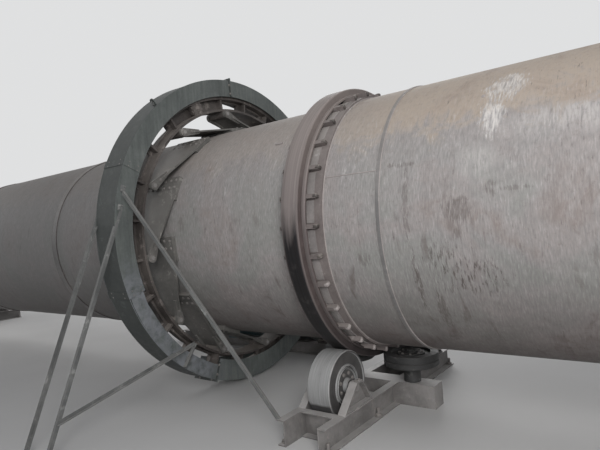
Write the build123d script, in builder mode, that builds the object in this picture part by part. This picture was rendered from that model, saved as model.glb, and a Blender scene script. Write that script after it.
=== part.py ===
from build123d import *
import os
from math import acos, cos, degrees, pi, radians, sin, sqrt, tan

# Rotary drum dryer, in millimetres.
# X runs along the drum from the discharge end to the feed end, Z is up, and the near side is -Y.
# The origin is on the floor, under the drum axis, at the middle of the thrust tyre.

# Drum shell
shell_radius = 1100.0
shell_wall = 16.0
tyre_spacing = 10400.0
end_overhang = 3800.0
short_seam = 682.0
long_seam = 3710.0
weld_strap_width = 97.0
weld_bead_width = 24.0
weld_strap_wall = 8.0
end_ring_height = 45.0
end_ring_width = 60.0
end_ring_inset = 40.0
dam_bore = 700.0
dam_wall = 14.0
flight_count = 12
flight_height = 190.0
flight_lip = 110.0
flight_wall = 8.0
flight_end_gap = 90.0

# Tyres and what carries them on the shell
tyre_width = 158.0
tyre_depth = 70.0
tyre_bevel = 9.0
band_wall = 20.0
band_feed_reach = 231.0
band_gear_reach = 138.0
strip_wall = 6.0
strip_feed_reach = 165.0
strip_gear_reach = 120.0
filler_wall = 23.0
filler_width = 124.0
pad_count = 32
pad_split = 52.0
stop_length = 120.0
stop_breadth = 34.0
stop_height = 40.0
seat_gap = 0.3

# Support rollers
roller_radius = 278.0
roller_width = 208.0
roller_lean = 29.5
roller_edge = 7.0
roller_lip = 16.0
roller_sink = 12.0
ridge_width = 10.0
ridge_slope = 4.0
cover_radius = 165.0
dish_radius = 130.0
hub_radius = 56.0
hub_reach = 24.0
axle_radius = 35.0
running_gap = 0.1
rolling_gap = 0.3

# Thrust rollers
thrust_radius = 244.0
thrust_width = 112.0
thrust_overlap = 34.0
thrust_groove = 12.0
thrust_rim = 70.0
thrust_dish = 22.0
thrust_hub_radius = 124.0
thrust_hub_sink = 6.0
thrust_pin_radius = 40.0
thrust_collar = 22.0
thrust_collar_wall = 14.0
thrust_column_radius = 75.0

# Girth gear, in two halves bolted together and centred in its guard
gear_distance = 1700.0
gear_module = 20.0
gear_stand = 460.0
gear_face = 180.0
gear_backlash = 4.0
pressure_angle = 20.0
gear_rim_wall = 58.0
gear_web_wall = 30.0
gear_flange_wall = 24.0
gear_flange_width = 220.0
rib_count = 24
rib_wall = 22.0
rib_width = 160.0
window_border = 18.0
window_length = 272.0
window_corner = 20.0
split_rib = 7
split_block = 120.0
split_slit = 3.0
split_slit_depth = 30.0
split_bolt_size = 24.0
split_bolt_head = 16.0
split_bolt_spread = 44.0

# Spring plates between the gear and the shell
lug_count = 12
lug_phase = 8.1
hinge_stand = 208.0
hinge_pin_radius = 18.0
hinge_pin_end = 10.0
eye_radius = 32.0
eye_clearance = 3.0
plate_foot_width = 484.0
plate_wall = 16.0
plate_pad_wall = 20.0
plate_pad_reach = 90.0
plate_tail = 150.0
cheek_wall = 32.0
cheek_gap = 3.0
cheek_half_height = 42.0
cheek_tip = 20.0
cheek_length = 200.0

# Pinion and its shaft
pinion_teeth = 20
pinion_face = 192.0
drive_angle = -45.0
pinion_shaft_radius = 60.0
bearing_reach = 330.0
bearing_width = 150.0
bearing_wall = 54.0
bearing_foot_spread = 108.0
bearing_foot_wall = 40.0
shaft_near_end = 25.0
shaft_far_end = 40.0

# Gear guard
guard_distance = 1722.0
guard_width = 294.0
guard_rise = 30.0
guard_clearance = 71.0
guard_floor_gap = 29.0
guard_lap = 105.0
guard_lower_lap = 138.0
guard_sheet = 5.0
guard_joints = (24.0, 86.2, 176.0, 292.0, 341.6)
flanged_joints = (86.2, 176.0, 292.0)
strapped_joints = (24.0, 341.6)
joint_flange = 24.0
joint_sheet = 6.0
strap_sheet = 4.0
strap_turn = 2.4
eye_angles = (48.8, 131.2)
lifting_eye_length = 90.0
lifting_eye_width = 50.0
lifting_eye_hole = 14.0
pocket_gap = 42.0
shaft_opening_gap = 12.0

# Guard stays
strut_size = 42.0
strut_wall = 5.0
strut_seat = 46.0
brace_angle = 14.9
outrigger_angle = 9.0
outrigger_reach = 2442.0
far_stay_angle = 188.0
tie_angle = -52.2
tie_overhang = 38.0
tie_height = 345.0

# Support stations
frame_height = 200.0
channel_flange = 75.0
channel_web = 9.0
rail_spacing = 380.0
rail_reach = 1265.0
cross_gap = 8.0
bracket_wall = 20.0
bracket_foot = 430.0
bracket_rise = 48.0
bracket_cap = 88.0
bracket_rim = 14.0
bracket_rim_gap = 6.0
thrust_beam_reach = 560.0
thrust_beam_width = 180.0
anchor_hole_radius = 14.0
anchor_inset = 60.0
anchor_step = 120.0
anchor_setback = 45.0

# Drive
drive_frame_height = 150.0
drive_near_margin = 80.0
drive_far_margin = 120.0
drive_rail_width = 90.0
drive_rail_flange = 10.0
drive_rail_web = 8.0
drive_rail_stance = 185.0
drive_tie_width = 70.0
reducer_length = 460.0
reducer_span = 1080.0
reducer_height = 620.0
reducer_slope = 120.0
reducer_edge = 60.0
reducer_flange = 40.0
reducer_flange_reach = 30.0
reducer_foot = 30.0
reducer_foot_reach = 45.0
output_shaft_radius = 48.0
shaft_pocket = 60.0
shaft_seat = 50.0
input_offset = 430.0
coupling_radius = 150.0
coupling_length = 190.0
coupling_hub_radius = 90.0
coupling_flange = 76.0
coupling_gap = 45.0
motor_radius = 235.0
motor_length = 760.0
motor_gap = 330.0
motor_spigot = 40.0
motor_spigot_radius = 141.0
motor_base_width = 400.0
motor_base_length = 530.0
motor_stance = 245.0
motor_foot_margin = 40.0
motor_foot = 30.0
motor_box_length = 190.0
motor_box_width = 170.0
motor_box_rise = 90.0
motor_box_setback = 340.0
coupling_guard_radius = 130.0

# Worked out from the sizes above
band_radius = shell_radius + band_wall
strip_radius = band_radius + strip_wall
filler_radius = strip_radius + filler_wall
tyre_bore = filler_radius + seat_gap
tyre_radius = tyre_bore + tyre_depth
gear_teeth = round(2 * (shell_radius + gear_stand) / gear_module)
gear_pitch_radius = gear_module * gear_teeth / 2
gear_tip = gear_pitch_radius + gear_module
gear_root = gear_pitch_radius - 1.25 * gear_module
guard_radius = gear_tip + guard_clearance
guard_opening = gear_tip - guard_lap
guard_lower_opening = gear_tip - guard_lower_lap
axis_height = guard_radius + guard_floor_gap - guard_rise
guard_height = axis_height + guard_rise
guard_near_face = -guard_distance + guard_width / 2
guard_far_face = -guard_distance - guard_width / 2
roller_reach = tyre_radius + rolling_gap + roller_radius
roller_y = roller_reach * sin(radians(roller_lean))
roller_z = axis_height - roller_reach * cos(radians(roller_lean))
feed_end = end_overhang
discharge_end = -tyre_spacing - end_overhang
seams = (short_seam, -long_seam, long_seam - tyre_spacing, -tyre_spacing - short_seam)
stations = {"thrust": 0.0, "rear": -tyre_spacing}
pinion_pitch_radius = gear_module * pinion_teeth / 2
centre_distance = gear_pitch_radius + pinion_pitch_radius
pinion_y = centre_distance * cos(radians(drive_angle))
pinion_z = axis_height + centre_distance * sin(radians(drive_angle))
thrust_x = tyre_width / 2 + rolling_gap + thrust_radius
thrust_top = axis_height - tyre_radius + thrust_overlap
thrust_bottom = thrust_top - thrust_width
hinge_radius = shell_radius + hinge_stand
gear_flange_bore = hinge_radius + eye_radius + eye_clearance

os.makedirs("parts", exist_ok=True)


def across_drum(x):
    """Plane square to the drum at x, drawn on from the drum axis: +Y to the right, +Z up."""
    return Plane(origin=(x, 0, axis_height), x_dir=(0, 1, 0), z_dir=(1, 0, 0))


def along_drum(x, y, z):
    """Plane that holds a line along X through the point, for turned profiles: +X right, +Z up."""
    return Plane(origin=(x, y, z), x_dir=(1, 0, 0), z_dir=(0, -1, 0))


def axis_along_drum(y, z):
    return Axis((0, y, z), (1, 0, 0))


def save(piece, label):
    """Label a finished piece and write it to its own file."""
    piece.part.label = label
    export_step(piece.part, f"parts/{label}.step")


# Shell

def shell_course(x_low, x_high):
    """One rolled and welded length of the drum's shell."""
    with BuildPart() as course:
        with BuildSketch(across_drum(x_low)):
            Circle(shell_radius)
            Circle(shell_radius - shell_wall, mode=Mode.SUBTRACT)
        extrude(amount=x_high - x_low)
    return course


def end_course(x_low, x_high, ring_low, dam_low=None):
    """A shell length with the rubbing ring of its end seal, and at the feed end an inner dam."""
    with BuildPart() as course:
        with BuildSketch(across_drum(x_low)):
            Circle(shell_radius)
            Circle(shell_radius - shell_wall, mode=Mode.SUBTRACT)
        extrude(amount=x_high - x_low)
        with BuildSketch(across_drum(ring_low)):
            Circle(shell_radius + end_ring_height)
            Circle(shell_radius - shell_wall / 2, mode=Mode.SUBTRACT)
        extrude(amount=end_ring_width)
        if dam_low is not None:
            with BuildSketch(across_drum(dam_low)):
                Circle(shell_radius - shell_wall / 2)
                Circle(dam_bore, mode=Mode.SUBTRACT)
            extrude(amount=dam_wall)
    return course


def add_flights(x_low, x_high, phase):
    """Lifting flights of one course: bent plates that stand on the inside of the shell."""
    root = sqrt((shell_radius - shell_wall) ** 2 - (flight_wall / 2) ** 2)
    with BuildSketch(across_drum(x_low + flight_end_gap), mode=Mode.PRIVATE) as row:
        with PolarLocations(root, flight_count, start_angle=phase):
            with Locations((-flight_height / 2, 0)):
                Rectangle(flight_height, flight_wall)
            with Locations((-flight_height, flight_lip / 2)):
                Rectangle(flight_wall, flight_lip + flight_wall)
    extrude(row.sketch, amount=x_high - x_low - 2 * flight_end_gap)


save(end_course(seams[0], feed_end, feed_end - end_ring_width - end_ring_inset, feed_end - dam_wall),
     "shell_feed_end")
save(shell_course(seams[1], seams[0]), "shell_thrust_course")
save(shell_course(seams[2], seams[1]), "shell_middle_course")
save(shell_course(seams[3], seams[2]), "shell_rear_course")
save(end_course(discharge_end, seams[3], discharge_end + end_ring_inset), "shell_discharge_end")

# Each course has its flights half a pitch round from the next.
half_pitch = 180 / flight_count
with BuildPart() as lifting_flights:
    add_flights(seams[0], feed_end - dam_wall, 0)
    add_flights(seams[1], seams[0], half_pitch)
    add_flights(seams[2], seams[1], 0)
    add_flights(seams[3], seams[2], half_pitch)
    add_flights(discharge_end, seams[3], 0)
save(lifting_flights, "lifting_flights")

with BuildPart() as straps:
    for seam, width in zip(seams, (weld_bead_width, weld_strap_width, weld_strap_width, weld_bead_width)):
        with BuildSketch(across_drum(seam - width / 2)):
            Circle(shell_radius + weld_strap_wall)
            Circle(shell_radius, mode=Mode.SUBTRACT)
        extrude(amount=width)
save(straps, "seam_straps")


# Tyres

def wear_band(x):
    """Thickened band round the shell, with stop blocks that keep the tyre from walking."""
    block_middle = band_radius + stop_height / 2 - band_wall / 4
    blocks = ((x - band_gear_reach, x - tyre_width / 2),
              (x + tyre_width / 2, x + tyre_width / 2 + stop_length))
    with BuildPart() as band:
        with BuildSketch(across_drum(x - band_gear_reach)):
            Circle(band_radius)
            Circle(shell_radius, mode=Mode.SUBTRACT)
        extrude(amount=band_gear_reach + band_feed_reach)
        for low, high in blocks:
            with BuildSketch(across_drum(low)):
                with PolarLocations(block_middle, pad_count):
                    Rectangle(stop_height + band_wall / 2, stop_breadth)
            extrude(amount=high - low)
    return band


def tyre_pads(x):
    """Filler plates under the tyre on thinner strips, split where the stop blocks stand."""
    layers = ((x - strip_gear_reach, x + strip_feed_reach, strip_radius),
              (x - filler_width / 2, x + filler_width / 2, filler_radius))
    with BuildPart() as pads:
        for low, high, radius in layers:
            with BuildSketch(across_drum(low)):
                Circle(radius)
                Circle(band_radius, mode=Mode.SUBTRACT)
                with PolarLocations(band_radius, pad_count):
                    Rectangle(4 * filler_wall, pad_split, mode=Mode.SUBTRACT)
            extrude(amount=high - low)
    return pads


def tyre(x):
    """Forged riding ring, turned all over."""
    with BuildPart() as ring:
        with BuildSketch(along_drum(x, 0, axis_height)) as section:
            with Locations((0, tyre_bore + tyre_depth / 2)):
                Rectangle(tyre_width, tyre_depth)
            chamfer(section.vertices(), tyre_bevel)
        revolve(axis=axis_along_drum(0, axis_height))
    return ring


for station, station_x in stations.items():
    save(wear_band(station_x), f"wear_band_{station}")
    save(tyre_pads(station_x), f"tyre_pads_{station}")
    save(tyre(station_x), f"tyre_{station}")


# Rollers

def roller_profile(bore):
    """Half section of a roller: long hub, dished cover with two ridges, sunk face and a thin lip."""
    half = roller_width / 2
    sunk = half - roller_sink
    outer_ridge = cover_radius - ridge_width
    hub_end = half + hub_reach
    side = [(hub_end, bore), (hub_end, hub_radius - roller_edge), (hub_end - roller_edge, hub_radius),
            (sunk, hub_radius + ridge_slope), (sunk, dish_radius), (half, dish_radius + ridge_slope),
            (half, dish_radius + ridge_width), (sunk, dish_radius + ridge_width + ridge_slope),
            (sunk, outer_ridge - ridge_slope), (half, outer_ridge), (half, cover_radius),
            (sunk, cover_radius + ridge_slope), (sunk, roller_radius - roller_lip - ridge_slope),
            (half, roller_radius - roller_lip), (half, roller_radius - roller_edge),
            (half - roller_edge, roller_radius)]
    other_side = [(-x, radius) for x, radius in reversed(side)]
    with BuildSketch(Plane.XY, mode=Mode.PRIVATE) as profile:
        with BuildLine():
            Polyline(*side, *other_side, close=True)
        make_face()
    return profile.sketch


def support_roller(x, side):
    with BuildPart() as roller:
        with BuildSketch(along_drum(x, side * roller_y, roller_z)):
            add(roller_profile(axle_radius + running_gap))
        revolve(axis=axis_along_drum(side * roller_y, roller_z))
    return roller


def thrust_roller(x):
    """Flat roller on an upright pin; its rim runs against one side of the tyre."""
    half = thrust_width / 2
    bore = thrust_pin_radius + running_gap
    sunk = thrust_radius - thrust_rim
    floor = half - thrust_dish
    neck = thrust_radius - thrust_groove
    with BuildPart() as roller:
        with BuildSketch(Plane(origin=(x, 0, thrust_top - half), x_dir=(1, 0, 0), z_dir=(0, -1, 0))):
            with BuildLine():
                Polyline((bore, -half), (thrust_radius - roller_edge, -half),
                         (thrust_radius, -half + roller_edge), (thrust_radius, -thrust_groove), (neck, -2 * thrust_groove / 3), (neck, 0),
                         (thrust_radius, thrust_groove / 3), (thrust_radius, half - ridge_slope),
                         (thrust_radius - ridge_slope, half), (sunk, half), (sunk - 2 * ridge_slope, floor),
                         (thrust_hub_radius, floor), (thrust_hub_radius, half - thrust_hub_sink),
                         (bore, half - thrust_hub_sink), close=True)
            make_face()
        revolve(axis=Axis((x, 0, 0), (0, 0, 1)))
    return roller


sides = {"near": -1, "far": 1}
for station, station_x in stations.items():
    for side_name, side in sides.items():
        save(support_roller(station_x, side), f"support_roller_{station}_{side_name}")

    with BuildPart() as axles:
        for side in sides.values():
            with BuildSketch(Plane(origin=(station_x - rail_spacing / 2, side * roller_y, roller_z),
                                   x_dir=(0, 1, 0), z_dir=(1, 0, 0))):
                Circle(axle_radius)
            extrude(amount=rail_spacing)
    save(axles, f"roller_axles_{station}")

save(thrust_roller(thrust_x), "thrust_roller_feed_side")
save(thrust_roller(-thrust_x), "thrust_roller_gear_side")


# Girth gear

def involute(angle):
    return tan(angle) - angle


def tooth_half_angle(teeth, radius):
    """Half the angle that a tooth fills at a radius, in radians."""
    pitch_radius = gear_module * teeth / 2
    base_radius = pitch_radius * cos(radians(pressure_angle))
    at_pitch = pi / (2 * teeth) - gear_backlash / (4 * pitch_radius)
    turn = involute(radians(pressure_angle))
    if radius > base_radius:
        turn -= involute(acos(base_radius / radius))
    return at_pitch + turn


def toothed_outline(teeth, radii, phase):
    """Closed outline of a toothed wheel; phase is one tooth's angle in degrees."""
    corners = []
    for tooth in range(teeth):
        middle = radians(phase + 360 * tooth / teeth)
        for radius in radii:
            turn = middle - tooth_half_angle(teeth, radius)
            corners.append((radius * cos(turn), radius * sin(turn)))
        for radius in reversed(radii):
            turn = middle + tooth_half_angle(teeth, radius)
            corners.append((radius * cos(turn), radius * sin(turn)))
    return corners


gear_phase = drive_angle + 180 / gear_teeth
gear_x = -gear_distance
flange_outer = gear_flange_bore + gear_flange_wall
rim_bore = gear_root - gear_rim_wall
web_middle = (flange_outer + rim_bore) / 2
web_height = rim_bore - flange_outer
rib_pitch = 360 / rib_count
split_angle = lug_phase + split_rib * rib_pitch
cheek_inner = gear_flange_width / 2 + cheek_gap
cheek_outer = cheek_inner + cheek_wall
pin_reach = cheek_outer + hinge_pin_end


def beside_split(angle):
    """Whether a bay lies next to one of the two joints, where the web stays whole."""
    return abs((angle - split_angle + 90) % 180 - 90) < rib_pitch


bays = [lug_phase + (bay + 0.5) * rib_pitch for bay in range(rib_count)]
windows = [angle for angle in bays if not beside_split(angle)]

with BuildPart() as gear:
    with BuildSketch(across_drum(gear_x - gear_face / 2)):
        with BuildLine():
            Polyline(*toothed_outline(gear_teeth, (gear_root, gear_tip), gear_phase), close=True)
        make_face()
        Circle(rim_bore, mode=Mode.SUBTRACT)
    extrude(amount=gear_face)
    with BuildSketch(across_drum(gear_x - gear_web_wall / 2)):
        Circle(rim_bore + gear_rim_wall / 2)
        Circle(flange_outer - gear_flange_wall / 2, mode=Mode.SUBTRACT)
        for angle in windows:
            with PolarLocations(web_middle, 1, start_angle=angle):
                RectangleRounded(web_height - 2 * window_border, window_length, window_corner,
                                 mode=Mode.SUBTRACT)
    extrude(amount=gear_web_wall)
    with BuildSketch(across_drum(gear_x - gear_flange_width / 2)):
        Circle(flange_outer)
        Circle(gear_flange_bore, mode=Mode.SUBTRACT)
    extrude(amount=gear_flange_width)
    with BuildSketch(across_drum(gear_x - rib_width / 2)):
        with PolarLocations(web_middle, rib_count, start_angle=lug_phase):
            Rectangle(web_height + gear_flange_wall, rib_wall)
        with PolarLocations(web_middle, 2, start_angle=split_angle):
            Rectangle(web_height + gear_flange_wall, split_block)
    extrude(amount=rib_width)
    # The bosses stand inside the flange, one for each spring plate.
    with BuildSketch(across_drum(gear_x - gear_flange_width / 2)):
        with PolarLocations(hinge_radius, lug_count, start_angle=lug_phase):
            Circle(eye_radius)
            with Locations(((eye_radius + gear_flange_wall / 2) / 2, 0)):
                Rectangle(eye_radius + gear_flange_wall / 2, 2 * eye_radius)
    extrude(amount=gear_flange_width)
    with BuildSketch(across_drum(gear_x - gear_flange_width / 2)):
        with PolarLocations(hinge_radius, lug_count, start_angle=lug_phase):
            Circle(hinge_pin_radius + running_gap)
    extrude(amount=gear_flange_width, mode=Mode.SUBTRACT)
    # The two halves meet in a slit between thick blocks, which bolts pull together.
    for end, inward in ((gear_x + rib_width / 2, -1), (gear_x - rib_width / 2, 1)):
        with BuildSketch(across_drum(end)):
            with PolarLocations(web_middle, 2, start_angle=split_angle):
                Rectangle(web_height, split_slit)
        extrude(amount=inward * split_slit_depth, mode=Mode.SUBTRACT)
    for turn in (radians(split_angle), radians(split_angle + 180)):
        with BuildSketch(Plane(origin=(gear_x, 0, axis_height), x_dir=(1, 0, 0),
                               z_dir=(0, -sin(turn), cos(turn)))):
            with Locations((0, web_middle)):
                with GridLocations(rib_width - split_bolt_spread, split_bolt_spread, 2, 2):
                    RegularPolygon(split_bolt_size, 6)
        extrude(amount=split_block / 2 + split_bolt_head, both=True)
save(gear, "girth_gear")

with BuildPart() as hinge_pins:
    with BuildSketch(across_drum(gear_x - pin_reach)):
        with PolarLocations(hinge_radius, lug_count, start_angle=lug_phase):
            Circle(hinge_pin_radius)
    extrude(amount=2 * pin_reach)
save(hinge_pins, "spring_plate_pins")

plate_line = shell_radius + plate_pad_wall + plate_wall / 2
plate_turn = acos(plate_line / hinge_radius)
plate_run = hinge_radius * sin(plate_turn)
plate_end = plate_run - eye_radius - 4 * eye_clearance
foot = (plate_line * cos(plate_turn), -plate_line * sin(plate_turn))
run_angle = 90 - degrees(plate_turn)


def plate_plane(lug):
    """Middle plane of one spring plate, drawn on from its foot on the shell; X runs to its pin."""
    foot_turn = radians(lug_phase + 360 * lug / lug_count) - plate_turn
    outward = Vector(0, cos(foot_turn), sin(foot_turn))
    along = Vector(0, -sin(foot_turn), cos(foot_turn))
    return Plane(origin=Vector(gear_x, 0, axis_height) + outward * plate_line, x_dir=along, z_dir=outward)


with BuildPart() as spring_plates:
    with BuildSketch(*[plate_plane(lug) for lug in range(lug_count)]):
        Polygon((-plate_tail, -plate_foot_width / 2), (0, -plate_foot_width / 2), (plate_end, -cheek_outer),
                (plate_end, cheek_outer), (0, plate_foot_width / 2), (-plate_tail, plate_foot_width / 2),
                align=None)
    extrude(amount=plate_wall / 2, both=True)
    # The pads fill the space between each plate's foot and the round shell.
    with BuildSketch(across_drum(gear_x - plate_foot_width / 2)):
        with PolarLocations(0, lug_count, start_angle=lug_phase):
            with Locations(Location((foot[0], foot[1], 0), (0, 0, run_angle))):
                with Locations(((plate_pad_reach - plate_tail) / 2, plate_wall / 2 + plate_pad_wall)):
                    Rectangle(plate_pad_reach + plate_tail, 2 * plate_pad_wall)
        Circle(shell_radius, mode=Mode.SUBTRACT)
    extrude(amount=plate_foot_width)
    # The cheeks carry the pin on both sides of the gear's boss.
    for cheek_low in (gear_x - cheek_outer, gear_x + cheek_inner):
        with BuildSketch(across_drum(cheek_low)):
            with PolarLocations(0, lug_count, start_angle=lug_phase):
                with Locations(Location((hinge_radius, 0, 0), (0, 0, run_angle))):
                    Circle(cheek_half_height)
                    Polygon((0, -cheek_half_height), (0, cheek_half_height), (-cheek_length, cheek_tip),
                            (-cheek_length, -cheek_tip), align=None)
                    Circle(hinge_pin_radius + running_gap, mode=Mode.SUBTRACT)
        extrude(amount=cheek_wall)
save(spring_plates, "spring_plates")

# Pinion with its shaft and the slow coupling
shaft_near = gear_x + bearing_reach + bearing_width / 2 + shaft_near_end
shaft_far = gear_x - bearing_reach - bearing_width / 2 - shaft_far_end
coupling_far = shaft_far - coupling_length
reducer_near = coupling_far - coupling_gap


def across_pinion(x):
    """Plane square to the pinion shaft at x, drawn on from its centre."""
    return Plane(origin=(x, pinion_y, pinion_z), x_dir=(0, 1, 0), z_dir=(1, 0, 0))


pinion_radii = (pinion_pitch_radius - 1.25 * gear_module, pinion_pitch_radius - gear_module / 2,
                pinion_pitch_radius + gear_module / 4, pinion_pitch_radius + gear_module)
with BuildPart() as pinion:
    with BuildSketch(across_pinion(gear_x - pinion_face / 2)):
        with BuildLine():
            Polyline(*toothed_outline(pinion_teeth, pinion_radii, drive_angle + 180), close=True)
        make_face()
    extrude(amount=pinion_face)
    with BuildSketch(across_pinion(shaft_far)):
        Circle(pinion_shaft_radius)
    extrude(amount=shaft_near - shaft_far)
save(pinion, "pinion")

with BuildPart() as coupling:
    with BuildSketch(across_pinion(coupling_far)):
        Circle(coupling_hub_radius)
    extrude(amount=coupling_length)
    with BuildSketch(across_pinion(coupling_far + coupling_length / 2)):
        Circle(coupling_radius)
    extrude(amount=coupling_flange / 2, both=True)
    with BuildSketch(across_pinion(reducer_near - shaft_seat)):
        Circle(output_shaft_radius)
    extrude(amount=coupling_far - reducer_near + shaft_seat)
save(coupling, "slow_coupling")

bearing_radius = pinion_shaft_radius + bearing_wall
with BuildPart() as bearings:
    for middle in (gear_x + bearing_reach, gear_x - bearing_reach):
        with BuildSketch(across_pinion(middle - bearing_width / 2)):
            Circle(bearing_radius)
            with Locations((0, -(pinion_z - drive_frame_height) / 2)):
                Rectangle(2 * bearing_radius, pinion_z - drive_frame_height)
            with Locations((0, drive_frame_height - pinion_z + bearing_foot_wall / 2)):
                Rectangle(2 * (bearing_radius + bearing_foot_spread), bearing_foot_wall)
            Circle(pinion_shaft_radius + running_gap, mode=Mode.SUBTRACT)
        extrude(amount=bearing_width)
save(bearings, "pinion_bearings")

# Reducer, motor and the guard over the fast coupling
reducer_far = reducer_near - reducer_length
reducer_middle = (reducer_near + reducer_far) / 2
reducer_y = pinion_y + input_offset / 2
with BuildPart() as reducer:
    with BuildSketch(Plane(origin=(reducer_far, reducer_y, drive_frame_height), x_dir=(0, 1, 0),
                           z_dir=(1, 0, 0))):
        with Locations((0, reducer_height / 2)):
            Rectangle(reducer_span, reducer_height)
        chamfer(vertices().group_by(Axis.Z)[-1], reducer_slope)
    extrude(amount=reducer_length)
    fillet(edges().filter_by(Axis.X).group_by(Axis.Z)[-1], reducer_edge)
    for height, wall, reach in ((pinion_z - reducer_flange / 2, reducer_flange, reducer_flange_reach),
                                (drive_frame_height, reducer_foot, reducer_foot_reach)):
        with BuildSketch(Plane.XY.offset(height)):
            with Locations((reducer_middle, reducer_y)):
                Rectangle(reducer_length + 2 * reach, reducer_span + 2 * reach)
        extrude(amount=wall)
    with BuildSketch(across_pinion(reducer_near + reducer_flange_reach)):
        Circle(output_shaft_radius + rolling_gap)
    extrude(amount=-shaft_pocket - reducer_flange_reach, mode=Mode.SUBTRACT)
save(reducer, "reducer")

motor_y = pinion_y + input_offset
motor_near = reducer_far - motor_gap
motor_far = motor_near - motor_length


def across_motor(x):
    return Plane(origin=(x, motor_y, pinion_z), x_dir=(0, 1, 0), z_dir=(1, 0, 0))


with BuildPart() as motor:
    with BuildSketch(across_motor(motor_far)):
        Circle(motor_radius)
    extrude(amount=motor_length)
    with BuildSketch(across_motor(motor_far)):
        with Locations((0, -(pinion_z - drive_frame_height) / 2)):
            Rectangle(motor_base_width, pinion_z - drive_frame_height)
        with Locations((0, drive_frame_height - pinion_z + motor_foot / 2)):
            Rectangle(2 * (motor_stance + motor_foot_margin), motor_foot)
    extrude(amount=motor_base_length)
    with BuildSketch(across_motor(motor_near)):
        Circle(motor_spigot_radius)
    extrude(amount=motor_spigot)
    with BuildSketch(Plane.XY.offset(pinion_z)):
        with Locations((motor_near - motor_box_setback, motor_y)):
            Rectangle(motor_box_length, motor_box_width)
    extrude(amount=motor_radius + motor_box_rise)
save(motor, "motor")

coupling_guard_near = reducer_far - reducer_foot_reach
with BuildPart() as coupling_guard:
    with BuildSketch(across_motor(motor_near + motor_spigot)):
        Circle(coupling_guard_radius)
        with Locations((0, -(pinion_z - drive_frame_height) / 2)):
            Rectangle(2 * coupling_guard_radius, pinion_z - drive_frame_height)
    extrude(amount=coupling_guard_near - motor_near - motor_spigot)
    with BuildSketch(across_motor(coupling_guard_near)):
        Circle(output_shaft_radius)
    extrude(amount=reducer_foot_reach - reducer_flange_reach)
save(coupling_guard, "coupling_guard")


# Support stations

def channel_face(start, run, flanges):
    """End face of a level channel: run points along it, flanges point to its open side."""
    with BuildSketch(Plane(origin=start, x_dir=flanges, z_dir=run), mode=Mode.PRIVATE) as face:
        with Locations((channel_flange / 2, 0)):
            Rectangle(channel_flange, frame_height)
        with Locations((channel_flange / 2 + channel_web, 0)):
            Rectangle(channel_flange, frame_height - 2 * channel_web, mode=Mode.SUBTRACT)
    return face.sketch


rail_web = rail_spacing / 2 - channel_flange / 2
bracket_top = roller_z + bracket_rise
roller_dip = sqrt(max(roller_radius ** 2 - (roller_z - frame_height) ** 2, 0)) + cross_gap
cross_outer = roller_y + roller_dip
cross_inner = roller_y - roller_dip
bracket_outer = cross_outer + channel_web
bracket_inner = bracket_outer - bracket_foot
anchor_y = rail_reach - anchor_inset
anchor_x = rail_web + anchor_setback


def bracket_face(x, side, rim_only):
    """Outline of a roller bracket at x, a wide foot under a narrow cap, or only its flanged rim."""
    with BuildSketch(Plane.YZ.offset(x), mode=Mode.PRIVATE) as face:
        with BuildLine():
            Polyline((side * bracket_outer, frame_height),
                     (side * (roller_y + bracket_cap / 2), bracket_top),
                     (side * (roller_y - bracket_cap / 2), bracket_top),
                     (side * bracket_inner, frame_height), close=True)
        make_face()
        if rim_only:
            offset(amount=-bracket_rim, kind=Kind.INTERSECTION, mode=Mode.SUBTRACT)
    return face.sketch


def station_frame(x, with_thrust_beam):
    """Welded channel frame with the four brackets that hold the roller axles."""
    middle = frame_height / 2
    with BuildPart() as frame:
        for hand in (-1, 1):
            extrude(channel_face((x + hand * rail_web, -rail_reach, middle), (0, 1, 0), (hand, 0, 0)),
                    amount=2 * rail_reach)
            for side in sides.values():
                for rim_only, depth in ((False, bracket_wall), (True, channel_flange - bracket_rim_gap)):
                    extrude(bracket_face(x + hand * rail_web, side, rim_only), amount=depth, dir=(hand, 0, 0))
        for side in sides.values():
            for reach, flanges in ((cross_outer, side), (cross_inner, -side)):
                extrude(channel_face((x - rail_web, side * reach, middle), (1, 0, 0), (0, flanges, 0)),
                        amount=2 * rail_web)
        if with_thrust_beam:
            with BuildSketch(Plane(origin=(x - thrust_beam_reach, 0, middle), x_dir=(0, 1, 0),
                                   z_dir=(1, 0, 0))):
                Rectangle(thrust_beam_width, frame_height)
            extrude(amount=2 * thrust_beam_reach)
        with BuildSketch(Plane.XY):
            with Locations((x, 0)):
                with GridLocations(2 * anchor_x, 2 * anchor_y, 2, 2):
                    Circle(anchor_hole_radius)
                with GridLocations(2 * anchor_x, 2 * (bracket_inner - anchor_step), 2, 2):
                    Circle(anchor_hole_radius)
        extrude(amount=channel_web, mode=Mode.SUBTRACT)
        for side in sides.values():
            with BuildSketch(Plane(origin=(x - rail_spacing, side * roller_y, roller_z),
                                   x_dir=(0, 1, 0), z_dir=(1, 0, 0))):
                Circle(axle_radius + running_gap)
            extrude(amount=2 * rail_spacing, mode=Mode.SUBTRACT)
    return frame


save(station_frame(0, True), "station_frame_thrust")
save(station_frame(-tyre_spacing, False), "station_frame_rear")

pin_layers = ((frame_height, thrust_bottom - rolling_gap, thrust_column_radius),
              (thrust_bottom - rolling_gap, thrust_top, thrust_pin_radius),
              (thrust_top - thrust_hub_sink + rolling_gap, thrust_top - thrust_hub_sink + thrust_collar_wall,
               thrust_pin_radius + thrust_collar))
with BuildPart() as pedestals:
    for low, high, radius in pin_layers:
        with BuildSketch(Plane.XY.offset(low)):
            with GridLocations(2 * thrust_x, 0, 2, 1):
                Circle(radius)
        extrude(amount=high - low)
save(pedestals, "thrust_roller_pins")


# Gear guard

def guard_plane(angle):
    """Plane through the guard's axis; the angle runs from the near side up over the top."""
    turn = radians(angle)
    return Plane(origin=(-guard_distance, 0, guard_height), x_dir=(1, 0, 0), z_dir=(0, -sin(turn), -cos(turn)))


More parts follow.
